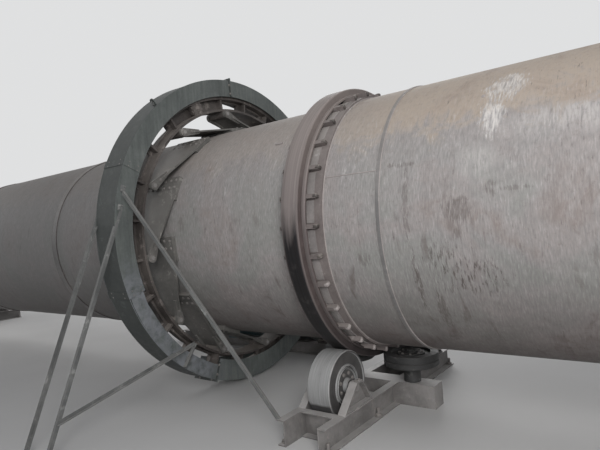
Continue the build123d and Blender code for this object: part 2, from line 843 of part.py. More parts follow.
def guard_segment(start, end, opening):
    """Two side sheets and the band between them, bent round from one joint to the next."""
    with BuildPart() as segment:
        with BuildSketch(guard_plane(start)):
            with Locations((0, (opening + guard_radius) / 2)):
                Rectangle(guard_width, guard_radius - opening)
            with Locations((0, (opening + guard_radius) / 2 - guard_sheet)):
                Rectangle(guard_width - 2 * guard_sheet, guard_radius - opening, mode=Mode.SUBTRACT)
        revolve(axis=guard_axis, revolution_arc=end - start)
    return segment


def drive_segment(start, end, opening, pocket_radius):
    """The guard length that opens into the pinion's pocket."""
    with BuildPart() as segment:
        add(guard_segment(start, end, opening).part)
        with BuildSketch(across_pinion(guard_far_face + guard_sheet)):
            Circle(pocket_radius)
        extrude(amount=guard_width - 2 * guard_sheet, mode=Mode.SUBTRACT)
    return segment


guard_axis = Axis((0, 0, guard_height), (-1, 0, 0))
pocket_inner = pinion_pitch_radius + gear_module + pocket_gap
upper_segments = {"guard_near_top": guard_joints[0:2], "guard_far_top": guard_joints[1:3],
                  "guard_near_middle": (guard_joints[4], guard_joints[0] + 360)}
for label, (start, end) in upper_segments.items():
    save(guard_segment(start, end, guard_opening), label)
save(guard_segment(guard_joints[3], guard_joints[4], guard_lower_opening), "guard_near_bottom")
save(drive_segment(guard_joints[2], guard_joints[3], guard_lower_opening, pocket_inner), "guard_far_bottom")

with BuildPart() as pinion_guard:
    with BuildSketch(across_pinion(guard_far_face)):
        Circle(pocket_inner + guard_sheet)
    extrude(amount=guard_width)
    with BuildSketch(across_pinion(guard_far_face + guard_sheet)):
        Circle(pocket_inner)
    extrude(amount=guard_width - 2 * guard_sheet, mode=Mode.SUBTRACT)
    with BuildSketch(across_pinion(guard_far_face)):
        Circle(pinion_shaft_radius + shaft_opening_gap)
    extrude(amount=guard_width, mode=Mode.SUBTRACT)
    with BuildSketch(Plane(origin=(guard_far_face, 0, guard_height), x_dir=(0, 1, 0), z_dir=(1, 0, 0))):
        Circle(guard_radius)
    extrude(amount=guard_width, mode=Mode.SUBTRACT)
save(pinion_guard, "pinion_guard")

with BuildPart() as guard_flanges:
    for angle in flanged_joints:
        with BuildSketch(guard_plane(angle)):
            with Locations((0, (guard_opening + guard_radius + joint_flange) / 2)):
                Rectangle(guard_width + 2 * joint_flange, guard_radius + joint_flange - guard_opening)
            with Locations((0, guard_radius / 2)):
                Rectangle(guard_width, guard_radius, mode=Mode.SUBTRACT)
        extrude(amount=joint_sheet, both=True)
    for angle in strapped_joints:
        with BuildSketch(guard_plane(angle - strap_turn / 2)):
            with Locations((0, (guard_opening + guard_radius + strap_sheet) / 2)):
                Rectangle(guard_width + 2 * strap_sheet, guard_radius + strap_sheet - guard_opening)
            with Locations((0, guard_radius / 2)):
                Rectangle(guard_width, guard_radius, mode=Mode.SUBTRACT)
        revolve(axis=guard_axis, revolution_arc=strap_turn)
    for angle in eye_angles:
        with BuildSketch(guard_plane(angle)):
            with Locations((guard_width / 2 - lifting_eye_width, guard_radius + lifting_eye_width / 2)):
                SlotOverall(lifting_eye_length, lifting_eye_width, rotation=90)
                Circle(lifting_eye_hole, mode=Mode.SUBTRACT)
            with Locations((0, guard_radius / 2)):
                Rectangle(guard_width, guard_radius, mode=Mode.SUBTRACT)
        extrude(amount=joint_sheet, both=True)
save(guard_flanges, "guard_flanges")


# Guard stays

def on_guard(x, radius, angle):
    """A point on the guard, at an angle from its near side up over the top."""
    return Vector(x, -radius * cos(radians(angle)), guard_height + radius * sin(radians(angle)))


def stay(top, foot, floor, hand=1):
    """An angle bar from the guard to the ground, cut level at its foot; its flat leg is on one hand."""
    run = foot - top
    with BuildPart() as bar:
        with BuildSketch(Plane(origin=top, x_dir=Vector(1, 0, 0).cross(run), z_dir=run)):
            Rectangle(strut_size, strut_size)
            with Locations((strut_wall, -hand * strut_wall)):
                Rectangle(strut_size, strut_size, mode=Mode.SUBTRACT)
        extrude(amount=run.length + strut_size)
        split(bisect_by=Plane.XY.offset(floor), keep=Keep.TOP)
        with BuildSketch(Plane(origin=(guard_far_face, 0, guard_height), x_dir=(0, 1, 0), z_dir=(1, 0, 0))):
            Circle(guard_radius + running_gap)
        extrude(amount=guard_width, mode=Mode.SUBTRACT)
    return bar.part


seat_radius = guard_radius - strut_seat
rail_end = rail_reach - strut_size / 2
near_bar_x = guard_near_face + strut_wall - strut_size / 2
far_bar_x = guard_far_face - strut_wall + strut_size / 2
tie_x = guard_near_face + strut_wall + strut_size / 2
outrigger_top = on_guard(near_bar_x, seat_radius, outrigger_angle)
outrigger_foot = Vector(near_bar_x, -outrigger_reach, 0)
tie_share = 1 - tie_height / outrigger_top.Z
tie_foot = outrigger_top + (outrigger_foot - outrigger_top) * tie_share
bracket_end = guard_lower_opening - tie_overhang
near_stays = (
    stay(on_guard(guard_near_face, seat_radius, brace_angle),
         Vector(-rail_spacing / 2, -rail_end, frame_height), frame_height),
    stay(outrigger_top, outrigger_foot, 0),
    stay(on_guard(far_bar_x, seat_radius, outrigger_angle), Vector(far_bar_x, -outrigger_reach, 0), 0, -1),
    stay(on_guard(tie_x, bracket_end, tie_angle), Vector(tie_x, tie_foot.Y, tie_foot.Z), 0, -1),
)
with BuildPart() as stays_near:
    for bar in near_stays:
        add(bar)
    # A short angle on the guard's face carries the tie.
    for shift, width, depth in ((0, strut_size, strut_wall),
                                ((strut_size - strut_wall) / 2, strut_wall, strut_size)):
        with BuildSketch(Plane(origin=(guard_near_face, 0, guard_height), x_dir=(0, 1, 0), z_dir=(1, 0, 0))):
            with PolarLocations((bracket_end + guard_radius) / 2, 1, start_angle=180 - tie_angle):
                with Locations((0, shift)):
                    Rectangle(guard_radius - bracket_end, width)
        extrude(amount=depth)
save(stays_near, "guard_stays_near")

# Drive frame places
drive_near = shaft_near + drive_near_margin
drive_far = motor_far - drive_far_margin
drive_rails = (pinion_y - drive_rail_stance, pinion_y + drive_rail_stance, motor_y + motor_stance)
drive_ties = (drive_near - drive_tie_width / 2, gear_x - bearing_reach, reducer_near, reducer_far,
              motor_far + drive_tie_width)

far_stays = (
    stay(on_guard(guard_near_face, seat_radius, 180 - brace_angle),
         Vector(-rail_spacing / 2, rail_end, frame_height), frame_height),
    stay(on_guard(-guard_distance, guard_radius, far_stay_angle),
         Vector(-guard_distance, drive_rails[-1], drive_frame_height), drive_frame_height),
)
with BuildPart() as stays_far:
    for bar in far_stays:
        add(bar)
save(stays_far, "guard_stays_far")


def beam_face(start, run, across, width):
    """End face of a rolled beam of the drive frame, with two flanges and a web."""
    with BuildSketch(Plane(origin=start, x_dir=across, z_dir=run), mode=Mode.PRIVATE) as face:
        Rectangle(width, drive_frame_height)
        Rectangle(width, drive_frame_height - 2 * drive_rail_flange, mode=Mode.SUBTRACT)
        Rectangle(drive_rail_web, drive_frame_height)
    return face.sketch


with BuildPart() as drive_frame:
    for y in drive_rails:
        extrude(beam_face((drive_far, y, drive_frame_height / 2), (1, 0, 0), (0, 1, 0), drive_rail_width),
                amount=drive_near - drive_far)
    for x in drive_ties:
        extrude(beam_face((x, drive_rails[0], drive_frame_height / 2), (0, 1, 0), (1, 0, 0), drive_tie_width),
                amount=drive_rails[-1] - drive_rails[0])
save(drive_frame, "drive_frame")
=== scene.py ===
"""Rotary drum dryer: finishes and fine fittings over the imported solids."""
import logging
import math
from dataclasses import dataclass
from enum import Enum
from functools import cache, cached_property, partial, reduce
from itertools import product
from typing import Iterable, Sequence

import bmesh
import bpy
from mathutils import Matrix, Vector


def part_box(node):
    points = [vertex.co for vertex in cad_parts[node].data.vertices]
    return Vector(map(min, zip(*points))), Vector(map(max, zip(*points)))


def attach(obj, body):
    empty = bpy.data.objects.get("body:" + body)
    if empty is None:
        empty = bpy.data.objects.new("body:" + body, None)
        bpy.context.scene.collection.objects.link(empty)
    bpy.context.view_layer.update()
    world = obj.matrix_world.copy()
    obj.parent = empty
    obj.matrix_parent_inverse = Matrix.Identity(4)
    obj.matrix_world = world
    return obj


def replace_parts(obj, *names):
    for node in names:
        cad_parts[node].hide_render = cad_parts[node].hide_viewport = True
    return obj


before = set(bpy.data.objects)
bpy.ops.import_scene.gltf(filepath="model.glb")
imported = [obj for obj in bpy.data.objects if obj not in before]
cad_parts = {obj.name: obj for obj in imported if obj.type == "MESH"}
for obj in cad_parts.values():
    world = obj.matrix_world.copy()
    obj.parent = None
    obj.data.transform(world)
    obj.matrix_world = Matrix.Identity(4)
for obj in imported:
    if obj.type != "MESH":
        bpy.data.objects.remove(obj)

log = logging.getLogger("dryer")
logging.basicConfig(level=logging.INFO, format="%(name)s: %(message)s")

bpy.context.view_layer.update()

Colour = tuple[float, float, float]
Point = tuple[float, float, float]
Spot = Point | Vector
Socket = bpy.types.NodeSocket

# Directions along the drum, to its feed end, and up.
ALONG = Vector((1, 0, 0))
UP = Vector((0, 0, 1))

# How far the guard's axis lies over the drum's, and the width of a station rail's flange past its web.
GUARD_LIFT = 0.030
RAIL_FLANGE = 0.075


class Body(Enum):
    """The moving groups that pieces ride on."""

    BASE = "base"
    DRUM = "drum"
    PINION = "pinion_shaft"
    THRUST_FEED = "thrust_roller_feed"
    THRUST_GEAR = "thrust_roller_gear"
    THRUST_NEAR_ROLLER = "roller_thrust_near"
    THRUST_FAR_ROLLER = "roller_thrust_far"
    REAR_NEAR_ROLLER = "roller_rear_near"
    REAR_FAR_ROLLER = "roller_rear_far"


class Finish(Enum):
    """Every finish on the dryer, by the part that it is named for."""

    SHELL = "shell"
    WELD = "weld"
    TYRE = "tyre"
    BAND = "band"
    PAD = "pad"
    SEAM = "seam"
    SPRING = "spring"
    RIVET = "rivet"
    GEAR = "gear"
    ROLLER = "roller"
    THRUST = "thrust"
    BRIGHT = "bright"
    GUARD = "guard"
    STAY = "stay"
    FRAME = "frame"
    DRIVE = "drive"


@dataclass(frozen=True)
class Layout:
    """Main sizes in metres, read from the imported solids: radii, heights of axes and places along the drum.

    The roller and the pinion have their axis's place across the drum and its height.
    """

    axis: float
    shell: float
    seams: tuple[float, ...]
    ends: tuple[float, float]
    stations: tuple[float, float]
    band: tuple[float, float]
    gear_x: float
    guard_axis: float
    guard_faces: tuple[float, float]
    roller: tuple[float, float]
    pinion: tuple[float, float]
    thrust_x: float
    thrust_top: float
    rail_web: float

    @classmethod
    def read(cls) -> "Layout":
        """Measure the solids.

        Returns:
            The sizes.
        """
        shell, tyre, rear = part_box("shell_middle_course"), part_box("tyre_thrust"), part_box("tyre_rear")
        band, gear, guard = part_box("wear_band_thrust"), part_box("girth_gear"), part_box("guard_near_top")
        roller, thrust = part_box("support_roller_thrust_near"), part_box("thrust_roller_feed_side")
        coupling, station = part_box("slow_coupling"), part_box("station_frame_rear")
        axis = (tyre[0][2] + tyre[1][2]) / 2
        return cls(
            axis=axis,
            shell=(shell[1][1] - shell[0][1]) / 2,
            seams=(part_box("shell_feed_end")[0][0], shell[1][0], shell[0][0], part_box("shell_discharge_end")[1][0]),
            ends=(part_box("shell_discharge_end")[0][0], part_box("shell_feed_end")[1][0]),
            stations=((tyre[0][0] + tyre[1][0]) / 2, (rear[0][0] + rear[1][0]) / 2),
            band=(band[0][0], band[1][0]),
            gear_x=(gear[0][0] + gear[1][0]) / 2,
            guard_axis=axis + GUARD_LIFT,
            guard_faces=(guard[1][0], guard[0][0]),
            roller=((roller[0][1] + roller[1][1]) / 2, (roller[0][2] + roller[1][2]) / 2),
            pinion=((coupling[0][1] + coupling[1][1]) / 2, (coupling[0][2] + coupling[1][2]) / 2),
            thrust_x=(thrust[0][0] + thrust[1][0]) / 2,
            thrust_top=thrust[1][2],
            rail_web=(station[1][0] - station[0][0]) / 2 - RAIL_FLANGE)


LAYOUT = Layout.read()


class Graph:
    """One material's node tree, with short calls for the nodes that the finishes share."""

    def __init__(self, name: str) -> None:
        """Start a material with its output and shader.

        Args:
            name: The material's name.
        """
        self.material = bpy.data.materials.new(name)
        self.material.use_nodes = True
        self.tree = self.material.node_tree
        self.tree.nodes.clear()
        self.output = self.node("ShaderNodeOutputMaterial")
        self.shader = self.node("ShaderNodeBsdfPrincipled")
        self.tree.links.new(self.shader.outputs[0], self.output.inputs[0])
        self.coordinates = self.node("ShaderNodeTexCoord").outputs["Object"]

    def node(self, kind: str, **settings: object) -> bpy.types.Node:
        """Add a node and set its own properties.

        Args:
            kind: The node's type name.
            settings: Property values by name.

        Returns:
            The new node.
        """
        made = self.tree.nodes.new(kind)
        for key, value in settings.items():
            setattr(made, key, value)
        return made

    def plug(self, target: Socket, value: object) -> None:
        """Link an input to a socket, or set a number or a colour on it.

        Args:
            target: The input.
            value: A socket, a number or a colour.
        """
        if isinstance(value, Socket):
            self.tree.links.new(value, target)
        else:
            target.default_value = (*value, 1) if isinstance(value, tuple) else value

    def wired(self, kind: str, inputs: dict[str | int, object], output: str | int, **settings: object) -> Socket:
        """Add a node with its inputs plugged.

        Args:
            kind: The node's type name.
            inputs: What goes into each input, by the input's name or number.
            output: The name or number of the output that is wanted.
            settings: Property values by name.

        Returns:
            That output's socket.
        """
        made = self.node(kind, **settings)
        for key, value in inputs.items():
            self.plug(made.inputs[key], value)
        return made.outputs[output]

    def parts(self, vector: Socket) -> tuple[Socket, Socket, Socket]:
        """Split a vector.

        Args:
            vector: The vector's socket.

        Returns:
            Its three numbers.
        """
        split = self.node("ShaderNodeSeparateXYZ")
        self.plug(split.inputs[0], vector)
        return tuple(split.outputs)

    def joined(self, *numbers: object) -> Socket:
        """Join two or three numbers or patterns to a vector."""
        return self.wired("ShaderNodeCombineXYZ", dict(enumerate(numbers)), 0)

    @cached_property
    def place(self) -> tuple[Socket, Socket, Socket]:
        """Where a point of the piece lies at rest: along the drum, across it, and over the floor."""
        return self.parts(self.coordinates)

    @cached_property
    def turn(self) -> Socket:
        """The angle round the drum's axis in radians, from its lower side."""
        y, z = self.place[1:]
        return self.math("ARCTAN2", y, self.math("SUBTRACT", z, LAYOUT.axis))

    def around(self, per_metre: float, per_turn: float) -> Socket:
        """Coordinates along the drum and, for each radian, round it, so that streaks follow its turning."""
        return self.joined(self.times(self.place[0], per_metre), self.times(self.turn, per_turn))

    def across(self) -> Socket:
        """How far a face looks along the drum, from 0 to 1, however the piece is turned."""
        return self.math("ABSOLUTE", self.parts(self.node("ShaderNodeTexCoord").outputs["Normal"])[0])

    def lying(self) -> Socket:
        """Where a face looks up, so that dust lies on it."""
        return self.spread(self.parts(self.node("ShaderNodeNewGeometry").outputs["Normal"])[2], 0.15, 0.85)

    def noise(self, scale: float, detail: float, roughness: float, distortion: float = 0.0,
              where: Socket | None = None) -> Socket:
        """A noise pattern from 0 to 1.

        Args:
            scale: How fine it is, in waves a metre.
            detail: Its number of octaves.
            roughness: How strong the fine octaves are.
            distortion: How much it is swirled.
            where: Its coordinates, if not the plain ones.

        Returns:
            The pattern's socket.
        """
        return self.wired("ShaderNodeTexNoise", {
            "Scale": scale, "Detail": detail, "Roughness": roughness, "Distortion": distortion,
            "Vector": where or self.coordinates}, "Fac")

    def spread(self, value: Socket, low: float, high: float, to_low: float = 0.0, to_high: float = 1.0) -> Socket:
        """Stretch part of a pattern over a new range, held at both ends.

        Args:
            value: The pattern.
            low: Its value that becomes to_low.
            high: Its value that becomes to_high.
            to_low: The new range's start.
            to_high: The new range's end.

        Returns:
            The new pattern's socket.
        """
        return self.wired("ShaderNodeMapRange", {
            "Value": value, "From Min": low, "From Max": high, "To Min": to_low, "To Max": to_high}, "Result",
            clamp=True)

    def math(self, operation: str, first: object, second: object = 0.0) -> Socket:
        """Join two numbers or patterns by an operation such as MULTIPLY."""
        return self.wired("ShaderNodeMath", {0: first, 1: second}, 0, operation=operation)

    def times(self, *patterns: object) -> Socket:
        """Multiply two or more patterns or numbers."""
        return reduce(partial(self.math, "MULTIPLY"), patterns)

    def mix(self, amount: object, first: object, second: object) -> Socket:
        """Blend two colours by a pattern or number from 0, the first, to 1, the second."""
        return self.wired("ShaderNodeMix", {"Factor": amount, 6: first, 7: second}, 2, data_type="RGBA")

    def over(self, colour: object, *layers: tuple[object, object]) -> Socket:
        """Lay colours over a first one.

        Args:
            colour: The first colour or its socket.
            layers: The amount and the colour of each layer, the lowest first.

        Returns:
            The colour's socket.
        """
        for amount, layer in layers:
            colour = self.mix(amount, colour, layer)
        return colour

    def finish(self, colour: Socket, roughness: object, metallic: float = 0.0,
               bumps: Sequence[tuple[Socket, float, float]] = ()) -> bpy.types.Material:
        """Wire colour, roughness and relief to the shader.

        Args:
            colour: The colour's socket.
            roughness: A pattern or number.
            metallic: How metallic the surface is.
            bumps: Height patterns, each with its strength and depth in metres.

        Returns:
            The finished material.
        """
        surface = {"Base Color": colour, "Roughness": roughness, "Metallic": metallic}
        for height, strength, depth in bumps:
            below = {"Normal": surface["Normal"]} if "Normal" in surface else {}
            surface["Normal"] = self.wired(
                "ShaderNodeBump", {"Strength": strength, "Distance": depth, "Height": height, **below}, 0)
        for name, value in surface.items():
            self.plug(self.shader.inputs[name], value)
        return self.material


def shade(colour: Colour, amount: float) -> Colour:
    """A colour made darker or paler by a factor."""
    return tuple(amount * part for part in colour)


@dataclass(frozen=True)
class Mark:
    """A stain on the drum: its place along the drum and round it, and how far it reaches each way."""

    x: float
    angle: float
    reach: float
    turn: float
    strength: float
    fade: tuple[float, float] = (1.4, 0.2)

    def patch(self, g: Graph, ragged: Socket) -> Socket:
        """Where the stain lies.

        Args:
            g: The material's graph.
            ragged: A pattern that breaks its edge.

        Returns:
            The pattern's socket, from 0 to the mark's strength.
        """
        along = g.math("DIVIDE", g.math("SUBTRACT", g.place[0], self.x), self.reach)
        middle = math.radians(self.angle - 90)
        round_it = g.math("DIVIDE", g.math("SUBTRACT", g.turn, middle), math.radians(self.turn))
        away = g.math("ADD", g.times(along, along), g.times(round_it, round_it))
        return g.spread(g.math("ADD", away, ragged), *self.fade, 0, self.strength)


@dataclass(frozen=True)
class RolledPlate:
    """Weathered drum plate: tan dust and pale flakes on top, short scratches and drips, a belly darkened by painted
    shade.
    """

    base: Colour = (0.300, 0.289, 0.286)
    dust: Colour = (0.345, 0.290, 0.240)
    pale: Colour = (0.540, 0.515, 0.495)
    rust: Colour = (0.200, 0.148, 0.128)
    dark: Colour = (0.070, 0.055, 0.050)
    green: Colour = (0.240, 0.243, 0.228)
    # Painted shade over the plate beyond the guard: its colour, where it starts and where it is full along the drum,
    # and its strength.
    painted_shade: Colour = (0.160, 0.158, 0.156)
    painted_shade_from: tuple[float, float] = (-1.6, -2.4)
    painted_shade_by: float = 0.52
    dusty_from: tuple[float, float] = (-0.1, 0.8)
    roughness: float = 0.70
    specular: float = 0.35
    dark_marks: tuple[Mark, ...] = (
        Mark(1.229, 1.9, 0.080, 4.0, 0.50), Mark(1.438, 7.9, 0.030, 2.2, 0.55), Mark(0.885, 6.0, 0.020, 14.0, 0.45),
        Mark(0.905, -22.0, 0.022, 10.0, 0.80), Mark(1.020, -35.0, 0.032, 8.0, 0.60), Mark(1.560, 7.4, 0.100, 0.7, 0.40),
        Mark(0.870, 19.4, 0.075, 0.9, 0.50), Mark(0.780, 20.0, 0.024, 1.0, 0.60), Mark(0.530, -14.0, 0.050, 2.4, 0.35),
        Mark(1.225, -5.0, 0.020, 4.0, 0.45))
    scratch_marks: tuple[Mark, ...] = (
        Mark(1.250, -20.0, 0.210, 6.0, 1.0), Mark(1.080, -13.0, 0.150, 5.0, 0.8))
    pale_marks: tuple[Mark, ...] = (
        Mark(1.470, 47.0, 0.120, 7.5, 0.75), Mark(1.425, 35.0, 0.070, 8.5, 0.80), Mark(1.900, 28.0, 0.400, 5.0, 0.35),
        Mark(1.350, 17.0, 0.120, 6.0, 0.30))

    @staticmethod
    def marked(g: Graph, marks: Sequence[Mark], ragged: Socket) -> Socket:
        """Where any of some marks lies, with edges broken by a pattern."""
        return reduce(partial(g.math, "MAXIMUM"), [mark.patch(g, ragged) for mark in marks])

    def build(self, name: str) -> bpy.types.Material:
        """Make the material.

        Args:
            name: Its name.

        Returns:
            The material.
        """
        g = Graph(name)
        fine = g.noise(1, 5, 0.66, 0.3, g.around(95, 17))
        dashes = g.noise(1, 4, 0.62, 0.3, g.around(58, 11))
        rings = g.noise(1, 5, 0.65, where=g.around(11, 0.7))
        drips = g.noise(1, 6, 0.62, 0.5, g.around(9, 2.4))
        patches = g.noise(1, 6, 0.6, 0.6, g.around(1.3, 1.6))
        blotch = g.noise(4.2, 8, 0.70, 0.9)
        grain = g.noise(34, 5, 0.68)
        x, _, height = g.place
        edge = g.math("ADD", height, g.spread(blotch, 0.3, 0.7, -0.20, 0.20))
        ragged = g.math("ADD", g.spread(fine, 0.34, 0.66, -0.9, 0.9), g.spread(blotch, 0.34, 0.66, -0.8, 0.8))
        # Bare plate with the rolling's rings, rust, greenish patches above and fine dark and pale lines.
        bare = g.mix(g.spread(rings, 0.30, 0.70), shade(self.base, 0.84), shade(self.base, 1.10))
        greenish = g.times(g.spread(patches, 0.54, 0.42), g.spread(height, 2.3, 1.7), 0.80)
        plate = g.over(
            bare, (g.spread(blotch, 0.30, 0.70, 0.35, 0), shade(self.rust, 1.2)), (greenish, self.green),
            (g.spread(fine, 0.36, 0.56, 0.62, 0), shade(self.base, 0.60)),
            (g.spread(fine, 0.56, 0.70, 0, 0.45), shade(self.base, 1.40)))
        # Dust on the crown, brown patches in it, and pale flakes between the belly and the crown.
        dusty = g.times(g.spread(edge, 2.18, 2.36), g.spread(fine, 0.32, 0.52, 0.60, 0.95),
                        g.spread(x, *self.dusty_from, 0.35, 1))
        rusty = g.times(g.spread(patches, 0.52, 0.64), g.spread(blotch, 0.42, 0.60), 0.50)
        flaky = g.times(g.spread(dashes, 0.52, 0.66), g.spread(edge, 1.60, 2.25, 0.10, 1),
                        g.spread(edge, 2.55, 2.30, 0.35, 1), g.spread(blotch, 0.50, 0.66), 0.70)
        whitened = g.mix(g.spread(dashes, 0.40, 0.60), self.base, shade(self.pale, 1.1))
        worn = g.over(plate, (dusty, self.dust), (rusty, self.rust), (flaky, self.pale),
                      (self.marked(g, self.pale_marks, ragged), whitened))
        # Scratches, drips and stains, painted shade on the belly, dark grain, and painted shade over the plate beyond
        # the guard.
        scratched = g.math("MAXIMUM", g.times(self.marked(g, self.scratch_marks, ragged), g.spread(dashes, 0.49, 0.43)),
                           g.times(g.spread(dashes, 0.38, 0.31), g.spread(patches, 0.46, 0.56), 0.6))
        runs = g.times(g.spread(drips, 0.42, 0.34), g.spread(height, 2.3, 1.4, 0.05, 1), g.spread(blotch, 0.35, 0.55))
        stained = g.times(self.marked(g, self.dark_marks, ragged), g.spread(fine, 0.66, 0.40, 0.45, 1))
        # Painted shade: the plate grows darker towards the bottom of the drum.
        painted_belly_shade = g.math("ADD", g.spread(height, 1.42, 0.62), g.spread(blotch, 0.35, 0.65, -0.14, 0.14))
        colour = g.over(
            worn, (g.times(scratched, 0.80), self.dark), (g.times(runs, 0.60), shade(self.dark, 1.6)),
            (stained, shade(self.dark, 1.2)), (g.spread(painted_belly_shade, 0.0, 1.0, 0, 0.72), self.dark),
            (g.spread(grain, 0.58, 0.72, 0, 0.30), shade(self.dark, 1.8)),
            # Painted shade over the plate beyond the guard.
            (g.spread(x, *self.painted_shade_from, 0, self.painted_shade_by), self.painted_shade))
        gloss = g.spread(grain, 0.3, 0.7, self.roughness - 0.06, self.roughness + 0.14)
        g.shader.inputs["Specular IOR Level"].default_value = self.specular
        return g.finish(colour, gloss, bumps=((fine, 0.22, 0.002), (grain, 0.18, 0.0015), (blotch, 0.20, 0.006),
                                              (patches, 0.35, 0.020)))


@dataclass(frozen=True)
class RidingRing:
    """Turned ring: pinkish brown sides, a dusty tread above, and below it grease darkened further by painted shade."""

    side: Colour = (0.095, 0.074, 0.071)
    tread: Colour = (0.240, 0.208, 0.200)
    dust: Colour = (0.300, 0.262, 0.242)
    # Dark grease with painted shade, on the lower tread and at the foot of the sides.
    grease_and_shade: Colour = (0.0065, 0.0062, 0.0066)
    # Painted reflection: bluish sheen in streaks over the dark lower tread.
    painted_sheen: Colour = (0.024, 0.025, 0.029)
    rim: float = 0.060
    rim_fade: float = 0.012
    specular: float = 0.28

    def build(self, name: str) -> bpy.types.Material:
        """Make the material.

        Args:
            name: Its name.

        Returns:
            The material.
        """
        g = Graph(name)
        rings = g.noise(1, 5, 0.7, where=g.around(70, 0.8))
        bands = g.noise(1, 3, 0.6, where=g.around(24, 0.5))
        smears = g.noise(1, 6, 0.65, 0.5, g.around(9, 2.2))
        cloud = g.noise(7, 7, 0.68, 0.5)
        x, _, height = g.place
        # The tread: dust above, and below grease with painted shade, which stops short of both rims.
        edge = g.math("ADD", height, g.spread(smears, 0.3, 0.7, -0.16, 0.16))
        off = [g.math("ABSOLUTE", g.math("SUBTRACT", x, station)) for station in LAYOUT.stations]
        inside = g.spread(g.math("MINIMUM", *off), self.rim + self.rim_fade, self.rim, 0.35, 1)
        # Grease with painted shade: the tread darkens below the axis, where its faces turn away from the light; the
        # same mask makes it glossier.
        grease_and_shade_mask = g.times(g.spread(edge, 1.84, 1.52), inside, g.spread(cloud, 0.25, 0.45, 0.80, 1))
        tread = g.over(
            g.mix(g.spread(bands, 0.35, 0.65), shade(self.tread, 0.62), self.tread),
            (g.times(g.spread(height, 1.9, 2.6), 0.6), self.dust),
            # Painted sheen: bluish reflection streaks laid over the dark lower tread.
            (grease_and_shade_mask, g.mix(g.spread(bands, 0.45, 0.66, 0, 0.45), self.grease_and_shade, self.painted_sheen)))
        # The sides: dust above, and grease with painted shade at the foot.
        side = g.over(
            g.mix(g.spread(cloud, 0.30, 0.70), shade(self.side, 0.70), shade(self.side, 1.25)),
            (g.times(g.spread(height, 1.7, 2.5), 0.5), self.dust),
            (g.times(g.spread(height, 1.15, 0.5), 0.85), shade(self.grease_and_shade, 2)))
        colour = g.over(tread, (g.spread(g.across(), 0.45, 0.9), side),
                        (g.spread(rings, 0.38, 0.68, 0, 0.35), shade(self.side, 0.40)))
        g.shader.inputs["Specular IOR Level"].default_value = self.specular
        return g.finish(colour, g.math("SUBTRACT", 0.62, g.times(grease_and_shade_mask, 0.18)),
                        bumps=((rings, 0.3, 0.0012), (cloud, 0.25, 0.004)))


@dataclass(frozen=True)
class RollerIron:
    """Support roller: a pale brushed tread that is darker at its foot, and a dark face with bright rings."""

    tread: Colour = (0.300, 0.300, 0.298)
    foot: Colour = (0.040, 0.039, 0.039)
    face: Colour = (0.062, 0.059, 0.058)
    bright: Colour = (0.330, 0.325, 0.320)
    dust: Colour = (0.33, 0.32, 0.31)
    rings: tuple[tuple[float, float], ...] = ((0.129, 0.005), (0.160, 0.006), (0.277, 0.008))
    foot_height: float = 0.255
    foot_fade: float = 0.012
    metallic: float = 0.12

    def build(self, name: str) -> bpy.types.Material:
        """Make the material.

        Args:
            name: Its name.

        Returns:
            The material.
        """
        g = Graph(name)
        x, y, z = g.place
        off_y = g.math("SUBTRACT", g.math("ABSOLUTE", y), abs(LAYOUT.roller[0]))
        off_z = g.math("SUBTRACT", z, LAYOUT.roller[1])
        radius = g.math("SQRT", g.math("ADD", g.times(off_y, off_y), g.times(off_z, off_z)))
        turn = g.math("ARCTAN2", off_y, off_z)
        brushed = g.noise(1, 5, 0.7, where=g.joined(g.times(x, 75), g.times(turn, 0.7), g.times(radius, 90)))
        cloud = g.noise(9, 7, 0.65, 0.4)
        edge = g.math("ADD", z, g.spread(cloud, 0.3, 0.7, -0.008, 0.008))
        tread = g.over(
            g.mix(g.spread(brushed, 0.30, 0.70), shade(self.tread, 0.62), shade(self.tread, 1.08)),
            (g.spread(edge, self.foot_height + self.foot_fade, self.foot_height - self.foot_fade), self.foot))
        face = g.mix(g.spread(cloud, 0.30, 0.70), shade(self.face, 0.65), shade(self.face, 1.35))
        for ring, width in self.rings:
            near = g.math("ABSOLUTE", g.math("SUBTRACT", radius, ring))
            worn = g.times(g.spread(near, width, width / 3), g.spread(cloud, 0.35, 0.55, 0.35, 1))
            face = g.mix(worn, face, self.bright)
        face = g.mix(g.spread(brushed, 0.45, 0.72, 0, 0.35), face, shade(self.face, 2.2))
        colour = g.over(tread, (g.spread(g.across(), 0.45, 0.9), face),
                        (g.times(g.lying(), g.spread(cloud, 0.4, 0.6), 0.4), self.dust))
        return g.finish(colour, g.spread(brushed, 0.3, 0.7, 0.48, 0.66), self.metallic,
                        ((brushed, 0.28, 0.0012), (cloud, 0.25, 0.003)))


